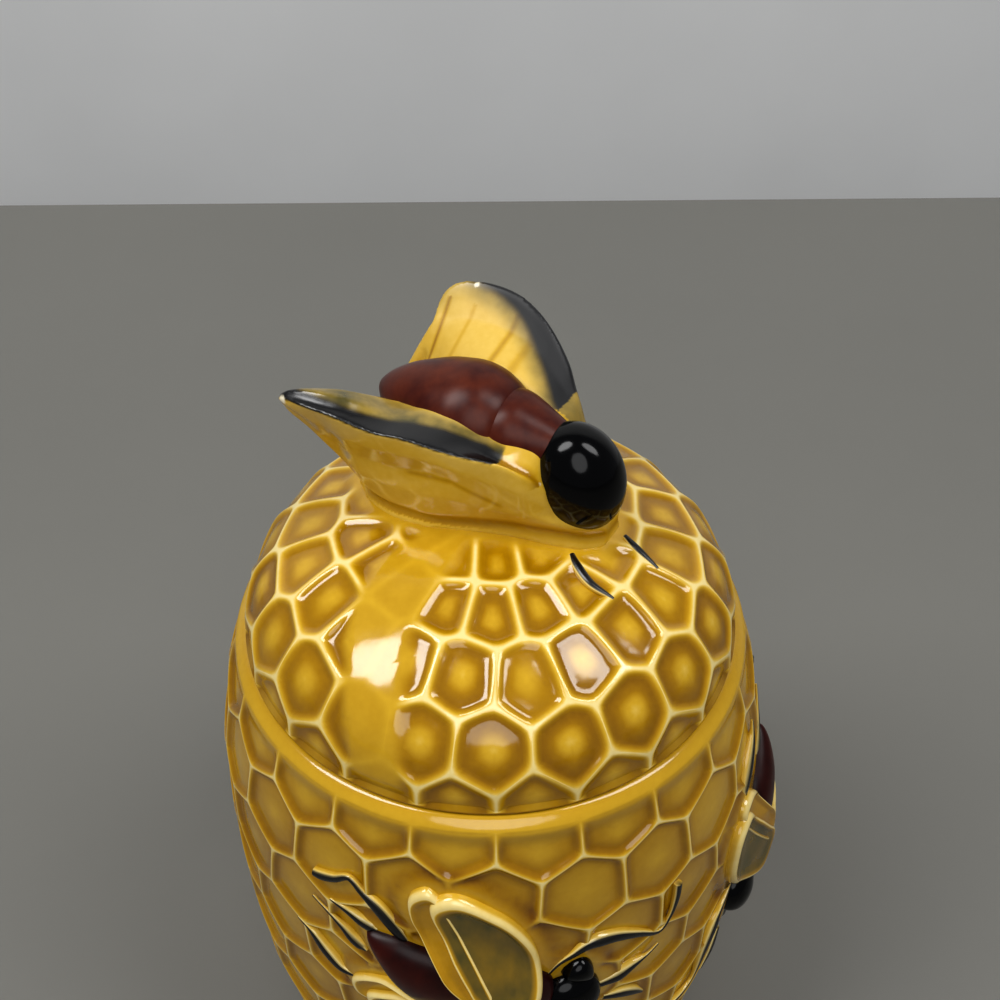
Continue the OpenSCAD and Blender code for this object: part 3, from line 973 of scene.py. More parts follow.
@dataclass
class HoneyPot:
    """The pot: a honeycomb wall, a rounded rim, a throat for the lid's skirt and a hollow."""

    form: HiveForm
    bees: Sequence["RaisedBee"]
    cells: int = 21
    first_turn: float = 9.17
    first_points: float = 9.2
    row_h: float = 12.5
    top_drop: float = 1.6
    wall: float = 4.5
    floor_t: float = 5.0
    mouth_r: float = 35.0
    throat_h: float = 8.0
    neck_h: float = 9.0
    floor_round: float = 6.0
    foot_round: float = 3.0
    snap_reach: float = 0.6
    least_relief: float = 0.04
    rim_fade: Pair = (-0.4, 3.2)
    bee_fade: Pair = (0.6, 3.0)
    halo_glaze: float = 0.34
    halo_at: float = 1.8
    halo_width: float = 1.5
    jitter: float = 0.55
    seed: int = 11

    @property
    def top_z(self) -> float:
        """Height at which the net of cells ends."""
        return self.form.seat_z - self.top_drop

    def seeds(self) -> tuple[Array, Array]:
        """Sets out the middles of the cells on the wall's net.

        Returns:
            The middles, and those mirrored or repeated past the net's borders.
        """
        random = np.random.default_rng(self.seed)
        form, period = self.form, 2 * math.pi * self.form.belly_r
        top, step = self.top_z, period / self.cells
        middles = [form.seat_z - self.first_points + self.row_h / 2]
        while middles[-1] - self.row_h > form.foot_h:
            middles.append(middles[-1] - self.row_h)
        rows = []
        first = math.radians(self.first_turn) * form.belly_r
        for k, z in enumerate(middles):
            x = first + (np.arange(self.cells) + 0.5 * k) * step
            shake = random.normal(0, self.jitter, (self.cells, 2)) * ([0.4, 0] if k == 0 else [1, 1])
            rows.append(np.stack([x, np.full(self.cells, z)], 1) + shake)
        inner = np.vstack(rows)
        inner[:, 0] %= period
        mirrored = np.vstack([rows[0] * [1, -1] + [0, 2 * top], rows[-1] * [1, -1] + [0, 2 * form.foot_h]])
        mirrored[:, 0] %= period
        both = np.vstack([inner, mirrored])
        repeats = np.vstack([both + [period, 0], both - [period, 0]])
        repeats = repeats[(repeats[:, 0] > -3 * step) & (repeats[:, 0] < period + 3 * step)]
        return inner, np.vstack([mirrored, repeats])

    def snap(self, point: Array) -> tuple[Array, int]:
        """Puts a point near a border on it.

        Args:
            point: The point on the net.

        Returns:
            The point, and 1 for the top, -1 for the foot or 0 elsewhere.
        """
        for border, z in ((1, self.top_z), (-1, self.form.foot_h)):
            if abs(point[1] - z) < self.snap_reach:
                return np.array([point[0], z]), border
        return point, 0

    def rim_line(self) -> list[Triple]:
        """Draws the outline from the wall's top over the rim and down inside to the floor.

        Returns:
            Radius, height and glaze of each ring.
        """
        form = self.form
        # The glaze darkens a little over the rim towards the seat, most in the seam under the lid's edge: glaze
        # gathered there, and painted shade of the seam.
        line = [(float(form.wall_r(z)), float(z), 0.40 + 0.1 * share ** 2) for share, z in zip(
            np.linspace(0, 1, 7), np.linspace(self.top_z, form.seat_z - 0.05, 8)[1:])]
        line += [(form.lid_r - 0.3, form.seat_z - 0.02, 0.55), (form.lid_r - 0.7, form.seat_z - 0.12, 0.6),
                 (self.mouth_r + 0.8, form.seat_z - 0.16, 0.5), (self.mouth_r + 0.2, form.seat_z - 0.5, 0.4),
                 (self.mouth_r, form.seat_z - 1.0, 0.4)]
        throat = form.seat_z - self.throat_h
        line += [(self.mouth_r, throat + 3, 0.4), (self.mouth_r, throat, 0.45)]
        neck = throat - self.neck_h
        for z in np.linspace(neck, self.floor_t + self.floor_round, 16):
            line.append((float(form.wall_r(z)) - self.wall, float(z), 0.5))
        inner = float(form.wall_r(self.floor_t + self.floor_round)) - self.wall
        for a in np.radians(np.linspace(15, 90, 6)):
            line.append((inner - self.floor_round * (1 - math.cos(a)),
                         self.floor_t + self.floor_round * (1 - math.sin(a)), 0.6))
        line += [(inner * share, self.floor_t, 0.6) for share in (0.7, 0.45, 0.2)]
        return line

    def foot_line(self) -> list[Triple]:
        """Draws the outline from the wall's foot to the middle of its underside.

        Returns:
            Radius, height and glaze of each ring.
        """
        form = self.form
        line = [(float(form.wall_r(self.foot_round)), self.foot_round, 0.5)]
        base = float(form.wall_r(0))
        for a in np.radians(np.linspace(75, 0, 6)):
            line.append((base - self.foot_round * (1 - math.sin(a)), self.foot_round * (1 - math.cos(a)), 0.4))
        line += [(base - self.foot_round - 3, 0, 0.2), (base * 0.6, 0, 0.2), (base * 0.3, 0, 0.2)]
        return line

    def relief(self, points: Array) -> Array:
        """Works out how deep the cells are pressed: they run out at the rim and round the bees.

        Args:
            points: Points of the pot.

        Returns:
            Shares from 0 to 1.
        """
        below = smoothstep(*self.rim_fade, self.top_z - points[:, 2])
        deep = self.least_relief + (1 - self.least_relief) * below
        for bee in self.bees:
            deep = deep * smoothstep(*self.bee_fade, bee.clearance(points))
        return deep

    def shade(self, points: Array) -> Array:
        """Works out how much thicker the glaze runs round the bees.

        Args:
            points: Points of the pot.

        Returns:
            The extra thickness.
        """
        extra = np.zeros(len(points))
        for bee in self.bees:
            extra += self.halo_glaze * bell(bee.clearance(points) - self.halo_at, self.halo_width)
        return extra

    def build(self, kiln: Kiln) -> None:
        """Makes the pot and dresses it.

        Args:
            kiln: The glazes.
        """
        form = self.form
        seeds, ghosts = self.seeds()
        net = CellNet(seeds, ghosts, form.wall_place, self.snap, period=2 * math.pi * form.belly_r)
        net.build()
        shell = Shell(net, pale_centre_and_sheen=0.2, ridge=0.25, bare=0.40, relief=self.relief, shade=self.shade)
        shell.close(1, self.rim_line(), (0, self.floor_t, 0.6), upward=True)
        shell.close(-1, self.foot_line(), (0, 0, 0.2), upward=False)
        piece = shell.piece("pot_shell")
        Relief(depth=0.8, slope=1.1, ridge_half=0.12, waver=0.2).press(piece, kiln.honey)
        dress(piece, kiln.honey, Body.POT, ["pot"])


@dataclass
class Lid:
    """The domed lid with its honeycomb, plain lip, locating skirt and hollow underside."""

    form: HiveForm
    handle: "BeeHandle"
    lip_h: float = 0.8
    rows: tuple[tuple[int, float, float], ...] = (
        (21, -6.8, 0.35), (21, 1.2, 10.6), (20, -7.5, 21.3), (17, 1.5, 31.6), (10, 6.0, 39.6))
    mouth_r: float = 35.0
    skirt_fit: float = 0.8
    skirt_t: float = 3.0
    skirt_h: float = 6.0
    dome_wall: float = 4.0
    jitter: float = 0.5
    bare_patch: tuple[Triple, ...] = ((0, -25, 6), (5, -25.5, 6.5), (10, -28, 7.5), (15, -32, 9.5), (19, -41, 13),
                                      (22, -50, 22))
    snap_reach: float = 0.7
    seed: int = 5

    def seeds(self) -> tuple[Array, Array]:
        """Sets out the middles of the cells on the dome's net.

        Returns:
            The middles, and those mirrored past the dome's edge.
        """
        random = np.random.default_rng(self.seed)
        edge = self.form.dome_length - self.lip_h
        rows = []
        for k, (count, turn, up) in enumerate(self.rows):
            angles = np.radians(turn + 360 / count * np.arange(count) + random.normal(0, 0.9, count))
            length = edge - up + random.normal(0, self.jitter, count) * (0 if k == 0 else 1)
            rows.append(length[:, None] * np.stack([np.sin(angles), -np.cos(angles)], 1))
        inner = np.vstack([*rows, [[0.0, 0.0]]])
        outer = rows[0] * (2 * edge / np.linalg.norm(rows[0], axis=1, keepdims=True) - 1)
        return inner, outer

    def snap(self, point: Array) -> tuple[Array, int]:
        """Puts a point near the dome's edge on it.

        Args:
            point: The point on the net.

        Returns:
            The point, and 1 for the edge or 0 elsewhere.
        """
        edge = self.form.dome_length - self.lip_h
        length = float(np.linalg.norm(point))
        return (point * edge / length, 1) if length > edge - self.snap_reach else (point, 0)

    def under_line(self) -> list[Triple]:
        """Draws the outline from the dome's edge under the lip, round the skirt and up inside.

        Returns:
            Radius, height and glaze of each ring.
        """
        form, seat = self.form, self.form.seat_z
        skirt = self.mouth_r - self.skirt_fit
        inner = skirt - self.skirt_t
        # The lip's lower edge gets the lid's darkest glaze: glaze gathered at the edge, and painted shade of the seam
        # over the pot's rim.
        line = [(form.lid_r, seat + 0.5, 0.8), (form.lid_r - 0.1, seat + 0.2, 0.95),
                (form.lid_r - 0.35, seat + 0.02, 1.0), (skirt + 0.6, seat, 0.5), (skirt + 0.1, seat - 0.2, 0.5),
                (skirt, seat - 0.7, 0.45), (skirt, seat - self.skirt_h + 1, 0.4),
                (skirt - 0.3, seat - self.skirt_h + 0.25, 0.3), (skirt - 1, seat - self.skirt_h, 0.25),
                (inner + 1, seat - self.skirt_h, 0.25), (inner + 0.3, seat - self.skirt_h + 0.25, 0.3),
                (inner, seat - self.skirt_h + 1, 0.4), (inner, seat, 0.5)]
        hollow = HiveForm(seat, form.lid_r - self.dome_wall, dome_h=form.dome_h - self.dome_wall)
        for angle in np.radians(np.linspace(12, 86, 14)):
            r, z = hollow.arc_rz[int((1 - angle / (math.pi / 2)) * (len(hollow.arc_rz) - 1))]
            line.append((min(float(r), inner), seat + float(z), 0.5))
        return line

    def relief(self, points: Array) -> Array:
        """Works out how deep the cells are pressed: not on the bare patch, and less by the bee's foot.

        Args:
            points: Points of the lid.

        Returns:
            Shares from 0 to 1.
        """
        turn = np.degrees(np.arctan2(points[:, 0], -points[:, 1]))
        height = points[:, 2] - self.form.seat_z
        rows = np.array(self.bare_patch).T
        middle, half = (np.interp(height, rows[0], rows[k]) for k in (1, 2))
        bare = 1 - smoothstep(0.7, 1.25, np.abs(turn - middle) / half)
        clear = self.handle.clearance(points)
        return (1 - 0.97 * bare * smoothstep(1.0, 4.0, height)) * smoothstep(0.2, 3.0, clear)

    def build(self, kiln: Kiln) -> None:
        """Makes the lid and dresses it.

        Args:
            kiln: The glazes.
        """
        form = self.form
        seeds, ghosts = self.seeds()
        net = CellNet(seeds, ghosts, form.dome_place, self.snap, seed=9)
        net.build()
        shell = Shell(net, pale_centre_and_sheen=0.42, ridge=0.5, bare=0.44, relief=self.relief)
        shell.close(1, self.under_line(), (0, form.seat_z + form.dome_h - self.dome_wall, 0.5), upward=False)
        piece = shell.piece("lid_shell")
        Relief(depth=0.6, slope=1.3, centre_rise=0.02, ridge_half=0.2, waver=0.2, seed=8).press(piece, kiln.honey)
        dress(piece, kiln.honey, Body.LID, ["lid"])


@dataclass(frozen=True)
class Slice:
    """One slice through a raised wing and the flank below it, at a place along the bee.

    Each point is the distance to the side and the height over the seat: the rim, the middle of the
    upper face, where that face meets the body, two points inside, the foot, the fold over the foot
    and the crease under the rim.
    """

    x: float
    rim: Pair
    middle: Pair
    meet: Pair
    inner_high: Pair
    inner_low: Pair
    foot: Pair
    fold: Pair
    crease: Pair

    def row(self, side: float, undercut: float, bulge: float, cup: float, lip: float) -> list[float]:
        """Returns x and the outline's points, from the rim inwards, down to the foot and up the flank.

        Args:
            side: 1 for the wing to the left of the bee and -1 for the other.
            undercut: Depth of the hollow over the foot.
            bulge: How far the flank swells between its creases.
            cup: How much of the upper face's fall lies next to the rim.
            lip: Thickness of the rim.

        Returns:
            The numbers of the row.
        """
        def mean(a: Pair, b: Pair, out: float) -> Pair:
            """Returns the point halfway, moved to the side."""
            return (a[0] + b[0]) / 2 + out, (a[1] + b[1]) / 2

        top, drop = self.rim, max(self.rim[1] - self.middle[1], 0) * cup
        shoulder = (top[0] - 0.4 * (top[0] - self.middle[0]), top[1] - drop)
        edge = (top[0] + side * lip, top[1] - 1.6 * lip)
        hollow = mean(self.foot, self.fold, -side * undercut)
        low, high = mean(self.fold, self.crease, side * bulge), mean(self.crease, self.rim, side * (bulge + lip))
        ring = [top, shoulder, self.middle, self.meet, self.inner_high, self.inner_low, self.foot, hollow,
                self.fold, low, self.crease, high, edge]
        return [self.x, *(v for pair in ring for v in pair)]


NEAR_SIDE = (
    Slice(-24.4, (-15.5, 40.7), (-15.1, 40.9), (-14.8, 40.6), (-14.8, 40.2), (-14.9, 39.8), (-15.1, 39.6),
          (-15.3, 39.7), (-15.5, 40.2)),
    Slice(-23.0, (-15.9, 41.0), (-14.9, 41.8), (-13.9, 41.2), (-13.7, 39.6), (-13.8, 38.2), (-14.3, 37.2),
          (-14.8, 37.3), (-15.3, 38.8)),
    Slice(-21.0, (-16.2, 41.3), (-14.4, 42.4), (-12.7, 41.4), (-11.8, 38.6), (-11.8, 35.2), (-12.8, 34.0),
          (-13.6, 34.4), (-14.5, 36.8)),
    Slice(-19.0, (-16.3, 41.4), (-13.9, 42.6), (-11.6, 41.4), (-10.1, 37.2), (-9.6, 31.5), (-10.9, 29.7),
          (-11.9, 30.1), (-13.3, 33.8)),
    Slice(-17.0, (-16.2, 41.3), (-13.4, 42.4), (-10.4, 41.2), (-7.0, 36.0), (-4.0, 19.0), (-7.6, 19.8),
          (-9.2, 23.8), (-12.0, 31.8)),
    Slice(-14.0, (-15.9, 41.0), (-12.2, 41.8), (-8.4, 40.0), (-4.0, 36.0), (-3.0, 18.6), (-10.3, 20.4),
          (-10.6, 23.5), (-13.3, 32.0)),
    Slice(-11.0, (-15.5, 40.3), (-11.0, 40.5), (-5.2, 37.6), (-2.0, 34.0), (-2.0, 18.8), (-11.7, 20.8),
          (-11.7, 23.8), (-13.3, 32.4)),
    Slice(-8.0, (-15.0, 39.9), (-10.8, 39.7), (-4.8, 38.2), (-1.5, 34.0), (-2.0, 19.0), (-12.5, 21.2),
          (-12.1, 24.0), (-13.1, 32.5)),
    Slice(-5.0, (-14.4, 40.1), (-10.6, 39.7), (-5.0, 39.3), (-1.5, 34.0), (-2.0, 19.0), (-12.6, 21.5),
          (-12.0, 24.1), (-12.8, 32.7)),
    Slice(-2.0, (-13.9, 39.8), (-10.4, 39.7), (-5.4, 39.9), (-1.5, 34.0), (-2.0, 19.0), (-12.3, 21.8),
          (-11.9, 24.3), (-12.5, 33.2)),
    Slice(1.0, (-13.2, 39.3), (-10.2, 39.4), (-5.4, 39.6), (-1.5, 34.0), (-2.0, 19.0), (-11.4, 22.0),
          (-11.2, 24.8), (-12.3, 33.5)),
    Slice(4.0, (-12.3, 38.8), (-9.8, 38.3), (-5.2, 38.1), (-1.5, 33.0), (-2.0, 19.0), (-10.3, 22.1),
          (-10.3, 25.2), (-11.9, 32.9)),
    Slice(7.0, (-11.3, 38.5), (-8.9, 36.9), (-4.6, 37.6), (-1.5, 33.0), (-2.0, 19.0), (-9.2, 22.1),
          (-9.3, 25.5), (-11.0, 31.5)),
    Slice(10.0, (-9.7, 37.4), (-8.0, 35.6), (-3.3, 37.7), (-1.5, 33.0), (-2.0, 19.0), (-8.2, 22.1),
          (-8.4, 25.8), (-10.0, 30.3)),
    Slice(12.6, (-8.2, 35.2), (-7.0, 34.3), (-2.4, 36.6), (-1.0, 32.0), (-2.0, 19.0), (-7.5, 21.9),
          (-7.9, 26.0), (-8.9, 29.6)),
    Slice(14.8, (-6.0, 31.6), (-4.6, 31.6), (-2.0, 32.0), (-1.0, 30.0), (-2.0, 18.6), (-6.9, 21.7),
          (-7.2, 26.1), (-7.0, 28.2)),
    Slice(17.5, (-4.2, 27.4), (-3.0, 27.6), (-1.8, 27.6), (-0.6, 26.0), (-1.0, 18.2), (-6.0, 21.5),
          (-6.1, 25.8), (-5.6, 26.9)),
    Slice(20.0, (-2.8, 26.4), (-2.0, 26.6), (-1.2, 26.6), (0.0, 25.0), (0.0, 18.0), (-4.7, 21.2),
          (-4.6, 25.2), (-4.0, 26.1)),
    Slice(22.4, (-0.4, 25.0), (0.2, 25.1), (0.8, 25.0), (1.2, 24.0), (1.0, 18.6), (-1.8, 20.7),
          (-1.7, 24.2), (-1.2, 24.8)))

FAR_SIDE = (
    Slice(-15.8, (16.0, 41.4), (13.0, 38.4), (10.6, 35.0), (10.4, 33.2), (11.2, 31.8), (12.4, 31.6),
          (13.4, 33.0), (14.9, 37.2)),
    Slice(-14.9, (17.1, 42.9), (13.4, 38.9), (10.0, 34.8), (8.8, 31.0), (6.0, 20.0), (11.2, 20.8),
          (12.6, 25.0), (15.2, 35.0)),
    Slice(-13.2, (18.0, 43.9), (13.8, 39.4), (9.0, 35.2), (4.0, 32.0), (3.0, 19.0), (11.8, 20.9),
          (12.4, 24.4), (14.8, 34.6)),
    Slice(-11.0, (18.6, 44.3), (14.2, 40.1), (7.6, 36.2), (2.0, 33.0), (2.0, 19.0), (12.2, 20.9),
          (12.4, 24.4), (15.2, 34.6)),
    Slice(-8.5, (19.0, 44.5), (14.3, 40.5), (7.0, 37.6), (1.5, 34.0), (2.0, 19.0), (12.5, 20.9),
          (12.5, 24.5), (15.6, 34.8)),
    Slice(-5.5, (19.0, 44.5), (14.0, 40.8), (6.8, 39.0), (1.5, 34.0), (2.0, 19.0), (12.6, 21.0),
          (12.5, 24.7), (15.7, 35.0)),
    Slice(-2.5, (18.4, 44.3), (13.6, 41.0), (6.8, 39.9), (1.5, 34.0), (2.0, 19.0), (12.6, 21.0),
          (12.4, 24.8), (15.5, 35.0)),
    Slice(0.5, (17.4, 43.6), (13.0, 40.8), (6.8, 40.0), (1.5, 34.0), (2.0, 19.0), (12.4, 21.0),
          (12.2, 24.9), (15.0, 34.8)),
    Slice(3.0, (16.4, 42.4), (12.2, 40.0), (6.4, 39.4), (1.5, 34.0), (2.0, 19.0), (12.0, 21.0),
          (11.8, 25.0), (14.2, 34.2)),
    Slice(5.5, (15.1, 40.8), (11.2, 39.3), (6.0, 38.6), (1.5, 33.0), (2.0, 19.0), (11.4, 21.0),
          (11.2, 25.1), (13.4, 33.4)),
    Slice(8.0, (13.5, 38.8), (10.2, 37.9), (5.4, 37.9), (1.0, 32.0), (2.0, 19.0), (10.6, 20.9),
          (10.4, 25.2), (12.2, 32.2)),
    Slice(10.0, (11.6, 36.8), (9.2, 36.6), (4.8, 37.2), (1.0, 32.0), (2.0, 19.0), (9.8, 20.8),
          (9.6, 25.2), (11.0, 31.0)),
    Slice(12.0, (9.6, 35.6), (8.2, 36.0), (4.2, 36.4), (1.0, 31.0), (2.0, 19.0), (9.0, 20.7),
          (8.9, 25.2), (9.6, 30.0)),
    Slice(14.2, (7.6, 33.0), (6.4, 33.4), (3.4, 33.6), (1.0, 30.0), (1.0, 18.8), (8.2, 20.5),
          (8.0, 25.2), (8.2, 29.0)),
    Slice(17.5, (5.4, 28.0), (4.2, 28.2), (2.6, 28.2), (1.0, 26.0), (0.6, 18.4), (7.0, 20.4),
          (6.8, 25.2), (6.4, 26.8)),
    Slice(20.0, (4.2, 26.4), (3.2, 26.6), (2.0, 26.6), (1.0, 25.0), (0.4, 18.2), (6.0, 20.3),
          (5.8, 24.8), (5.2, 25.8)),
    Slice(22.4, (2.6, 25.0), (2.0, 25.1), (1.4, 25.0), (0.8, 24.0), (0.6, 18.6), (3.6, 20.4),
          (3.5, 24.0), (3.1, 24.7)))

FOOTPRINT = ((-19.2, -5.5), (-15.4, -8.9), (-10.7, -11.8), (-6.6, -12.6), (-2.3, -12.4), (1.4, -11.3), (8.5, -8.8),
             (14.3, -7.1), (18.6, -5.7), (22.2, -2.9), (22.9, 1.2), (21.6, 5.0), (17.5, 7.1), (12.0, 9.1), (5.5, 11.5),
             (-2.5, 12.7), (-8.5, 12.6), (-14.0, 11.6), (-18.2, 8.4), (-19.8, 1.5))


@dataclass
class BeeHandle:
    """The bee that the lid is lifted by, in its own frame: X ahead, Y to its left, Z over the seat."""

    form: HiveForm
    turn: float = -30.0
    origin: Pair = (-1.5, 7.0)
    body_z: float = 34.8
    head_at: Triple = (16.7, 0.0, 30.7)
    head_size: Triple = (14.6, 13.0, 17.6)
    head_lean: float = 0.08
    undercut: float = 1.0
    bulge: float = 0.35
    near_edge: Pair = (0.5, 0.1)
    far_edge: Pair = (0.35, 0.6)
    egg_steps: int = 36
    voxel: float = 0.33
    smoothing: int = 6
    around: int = 56
    abdomen: tuple[Pair, ...] = ((-17.2, 0.2), (-16.6, 1.4), (-15.0, 3.1), (-12.3, 5.0), (-9.4, 6.4), (-6.5, 7.6),
                                 (-4.1, 8.2), (-1.7, 8.6), (0.9, 8.4), (2.9, 7.75), (4.6, 6.9), (5.5, 5.9),
                                 (5.9, 4.0))
    thorax: tuple[Pair, ...] = ((2.5, 4.6), (3.6, 6.1), (5.0, 6.5), (6.8, 6.4), (8.7, 5.8), (10.8, 5.0), (13.1, 4.1),
                                (15.0, 3.3), (15.8, 2.0))
    near_band: tuple[Pair, ...] = ((-24.0, 3.6), (-20.0, 3.2), (-13.5, 3.3), (-8.0, 4.1), (0.0, 5.1), (5.5, 4.5),
                                   (7.8, 3.2), (8.5, 0.0))
    near_wash: tuple[Pair, ...] = ((-24.0, 6.0), (-16.0, 7.5), (-9.0, 6.5), (-2.0, 3.5), (6.0, 2.0))
    far_band: tuple[Pair, ...] = ((-13.0, 0.2), (-11.0, 0.9), (-6.5, 2.2), (-2.0, 3.2), (3.0, 4.4), (7.0, 5.2),
                                  (10.0, 5.6))
    fold_pools_and_shade: tuple[Triple, ...] = ((-9.6, 0.16, 0.35), (-2.0, 0.34, 0.45), (1.6, 0.2, 0.6), (-14.1, 0.5, 0.3))
    # Bare chips at the near wing's tip and by the thorax; the third, on the far wing's rim, is a painted white glint
    chips_and_glint: tuple[tuple[Triple, float], ...] = (((-23.5, -15.7, 40.3), 0.75), ((14.2, -6.4, 33.4), 0.6),
                                               ((-10.6, 18.2, 44.0), 0.5))
    feelers: tuple[tuple[Triple, ...], ...] = (
        ((12.0, -7.9, 0.7), (12.7, -9.9, 1.1), (14.6, -12.9, 1.0), (17.8, -15.0, 0.4)),
        ((20.2, -3.0, 0.6), (22.0, -5.2, 1.0), (24.9, -8.0, 0.4)))
    hindwing: tuple[tuple[float, ...], ...] = (
        (-18.3, 9.0, 29.6, 10.2, 31.8, 1.6), (-17.5, 8.6, 27.0, 11.2, 34.0, 2.6), (-16.6, 8.6, 25.0, 12.3, 36.4, 3.0),
        (-15.6, 9.0, 24.0, 13.4, 38.6, 3.0), (-14.0, 9.6, 23.6, 14.4, 39.6, 3.0), (-11.0, 10.4, 23.6, 14.6, 38.0, 2.6))
    core_levels: tuple[Pair, ...] = ((0.99, 17.5), (0.97, 21.0), (0.86, 23.0), (0.84, 27.0), (0.74, 30.0), (0.5, 32.0))

    def on_lid(self, points: Array) -> Array:
        """Turns points of the bee's frame into the part's frame.

        Args:
            points: The points.

        Returns:
            The same points in the other frame.
        """
        c, s = math.cos(math.radians(self.turn)), math.sin(math.radians(self.turn))
        x, y, z = np.moveaxis(np.asarray(points, float), -1, 0)
        return np.stack([self.origin[0] + c * x - s * y, self.origin[1] + s * x + c * y, self.form.seat_z + z], -1)

    def own(self, points: Array) -> Array:
        """Turns points of the part's frame into the bee's frame.

        Args:
            points: The points.

        Returns:
            The same points in the other frame.
        """
        c, s = math.cos(math.radians(self.turn)), math.sin(math.radians(self.turn))
        x, y = points[:, 0] - self.origin[0], points[:, 1] - self.origin[1]
        return np.stack([c * x + s * y, c * y - s * x, points[:, 2] - self.form.seat_z], 1)

    def clearance(self, points: Array) -> Array:
        """Measures how far points of the lid lie outside the bee's footprint.

        Args:
            points: The points.

        Returns:
            The distances, 0 inside it.
        """
        flat = self.own(points)[:, :2]
        ring = np.array(FOOTPRINT)
        after = np.roll(ring, -1, 0)
        along = after - ring
        offset = flat[:, None] - ring
        share = np.clip(np.einsum("pkc,kc->pk", offset, along) / (along ** 2).sum(1), 0, 1)
        apart = np.linalg.norm(offset - share[..., None] * along, axis=2).min(1)
        crosses = ((ring[:, 1] > flat[:, 1:]) != (after[:, 1] > flat[:, 1:]))
        at = ring[:, 0] + (flat[:, 1:] - ring[:, 1]) / np.where(along[:, 1] == 0, 1e-9, along[:, 1]) * along[:, 0]
        inside = (crosses & (flat[:, :1] < at)).sum(1) % 2 == 1
        return np.where(inside, 0, apart)

    def turned(self, profile: Sequence[Pair], steps: int = 60) -> Shape:
        """Makes a round body along X.

        Args:
            profile: Places along X and radii.
            steps: How many rings it gets.

        Returns:
            The points and the faces.
        """
        rows = spline(np.array(profile), steps)
        turn = 2 * np.pi * np.arange(self.around) / self.around
        radius = np.maximum(rows[:, 1], 0.05)[:, None]
        rings = np.stack([rows[:, :1] * np.ones_like(turn), radius * np.cos(turn),
                          self.body_z + radius * np.sin(turn)], -1)
        return closed_loft(rings, [rows[0, 0] - 0.1, 0, self.body_z], [rows[-1, 0] + 0.1, 0, self.body_z])

    def egg(self, centre: Sequence[float], size: Sequence[float]) -> Shape:
        """Makes an egg along Z.

        Args:
            centre: Its middle.
            size: Its size along each axis.

        Returns:
            The points and the faces.
        """
        up = np.pi * np.arange(1, self.egg_steps) / self.egg_steps
        turn = 2 * np.pi * np.arange(self.around) / self.around
        half = np.array(size) / 2
        rings = np.stack([np.outer(np.sin(up), np.cos(turn)) * half[0], np.outer(np.sin(up), np.sin(turn)) * half[1],
                          -np.cos(up)[:, None] * half[2] * np.ones_like(turn)], -1)
        rings[..., 0] -= self.head_lean * rings[..., 2]
        rings = rings + centre
        tip = np.array([-self.head_lean * half[2], 0, half[2]])
        return closed_loft(rings, centre - tip, centre + tip)

    def wedge(self, slices: Sequence[Slice], side: float, cup: float, lip: float, steps: int = 90) -> Shape:
        """Makes a raised wing with the flank below it, through its slices.

        Args:
            slices: The slices.
            side: 1 for the wing to the left of the bee and -1 for the other.
            cup: How much of the upper face's fall lies next to the rim.
            lip: Thickness of the rim.
            steps: How many rings it gets.

        Returns:
            The points and the faces.
        """
        rows = spline(np.array([s.row(side, self.undercut, self.bulge, cup, lip) for s in slices]), steps)
        flat = rows[:, 1:].reshape(steps, -1, 2)
        rings = np.concatenate([np.repeat(rows[:, :1, None], flat.shape[1], 1), flat], 2)
        return closed_loft(rings, rings[0].mean(0), rings[-1].mean(0))

    def blade(self, stations: Sequence[Sequence[float]], around: int = 20, steps: int = 40) -> Shape:
        """Makes a flat lobe along X.

        Args:
            stations: For each, x, the lower edge's y and z, the upper edge's y and z, and the thickness.
            around: Points round each ring.
            steps: How many rings it gets.

        Returns:
            The points and the faces.
        """
        rows = spline(np.array(stations, float), steps)
        turn = 2 * np.pi * np.arange(around) / around
        low, high, thick = rows[:, 1:3], rows[:, 3:5], rows[:, 5]
        middle, half = (low + high) / 2, (high - low) / 2
        across = unit(np.stack([half[:, 1], -half[:, 0]], 1))
        flat = (middle[:, None] + half[:, None] * np.sin(turn)[None, :, None]
                + across[:, None] * (thick[:, None] / 2 * np.cos(turn)[None])[..., None])
        rings = np.concatenate([np.repeat(rows[:, :1, None], around, 1), flat], 2)
        ends = rings.mean(1)
        return closed_loft(rings, ends[0] - [0.3, 0, 0], ends[-1] + [0.3, 0, 0])

    def core(self) -> Shape:
        """Makes the block of clay inside the footprint, up to the body's middle.

        Returns:
            The points and the faces.
        """
        plan = spline(np.array(FOOTPRINT + FOOTPRINT[:1]), 120)[:-1]
        rings = []
        for scale, z in self.core_levels:
            flat = plan * scale + np.array([1.5, 0]) * (1 - scale)
            height = np.full(len(flat), z) if z > 20 else self.ground(flat) - 1.2
            rings.append(np.column_stack([flat, height]))
        return closed_loft(np.array(rings), np.array([1.5, 0, 17.0]), np.array([1.5, 0, 32.4]))

    def ground(self, flat: Array) -> Array:
        """Returns the dome's height over the seat under points of the bee's frame."""
        placed = self.on_lid(np.column_stack([flat, np.zeros(len(flat))]))
        return self.form.dome_z(np.linalg.norm(placed[:, :2], axis=1)) - self.form.seat_z

    def near_paint(self, own: Array) -> tuple[Array, Array]:
        """Works out the brushwork on the near wing.

        Args:
            own: Points of the bee's frame.

        Returns:
            The shares of black and of olive.
        """
        x, y, z = own.T
        rim = np.array([(s.x, *s.rim) for s in NEAR_SIDE]).T
        rim_y, rim_z = (np.interp(x, rim[0], rim[k]) for k in (1, 2))
        across = (y - rim_y) + 0.85 * (z - rim_z) + 0.45
        width = np.interp(x, *np.array(self.near_band).T, right=0)
        wash = np.interp(x, *np.array(self.near_wash).T)
        upper = (y < -3) & (z > rim_z - 2.5) & (x < 8.3)
        black = upper * smoothstep(0.0, 0.25, across) * (1 - smoothstep(width - 0.8, width + 0.5, across))
        olive = upper * smoothstep(0.2, 0.6, across) * (1 - smoothstep(width + 0.3 * wash, width + wash, across))
        return black, olive

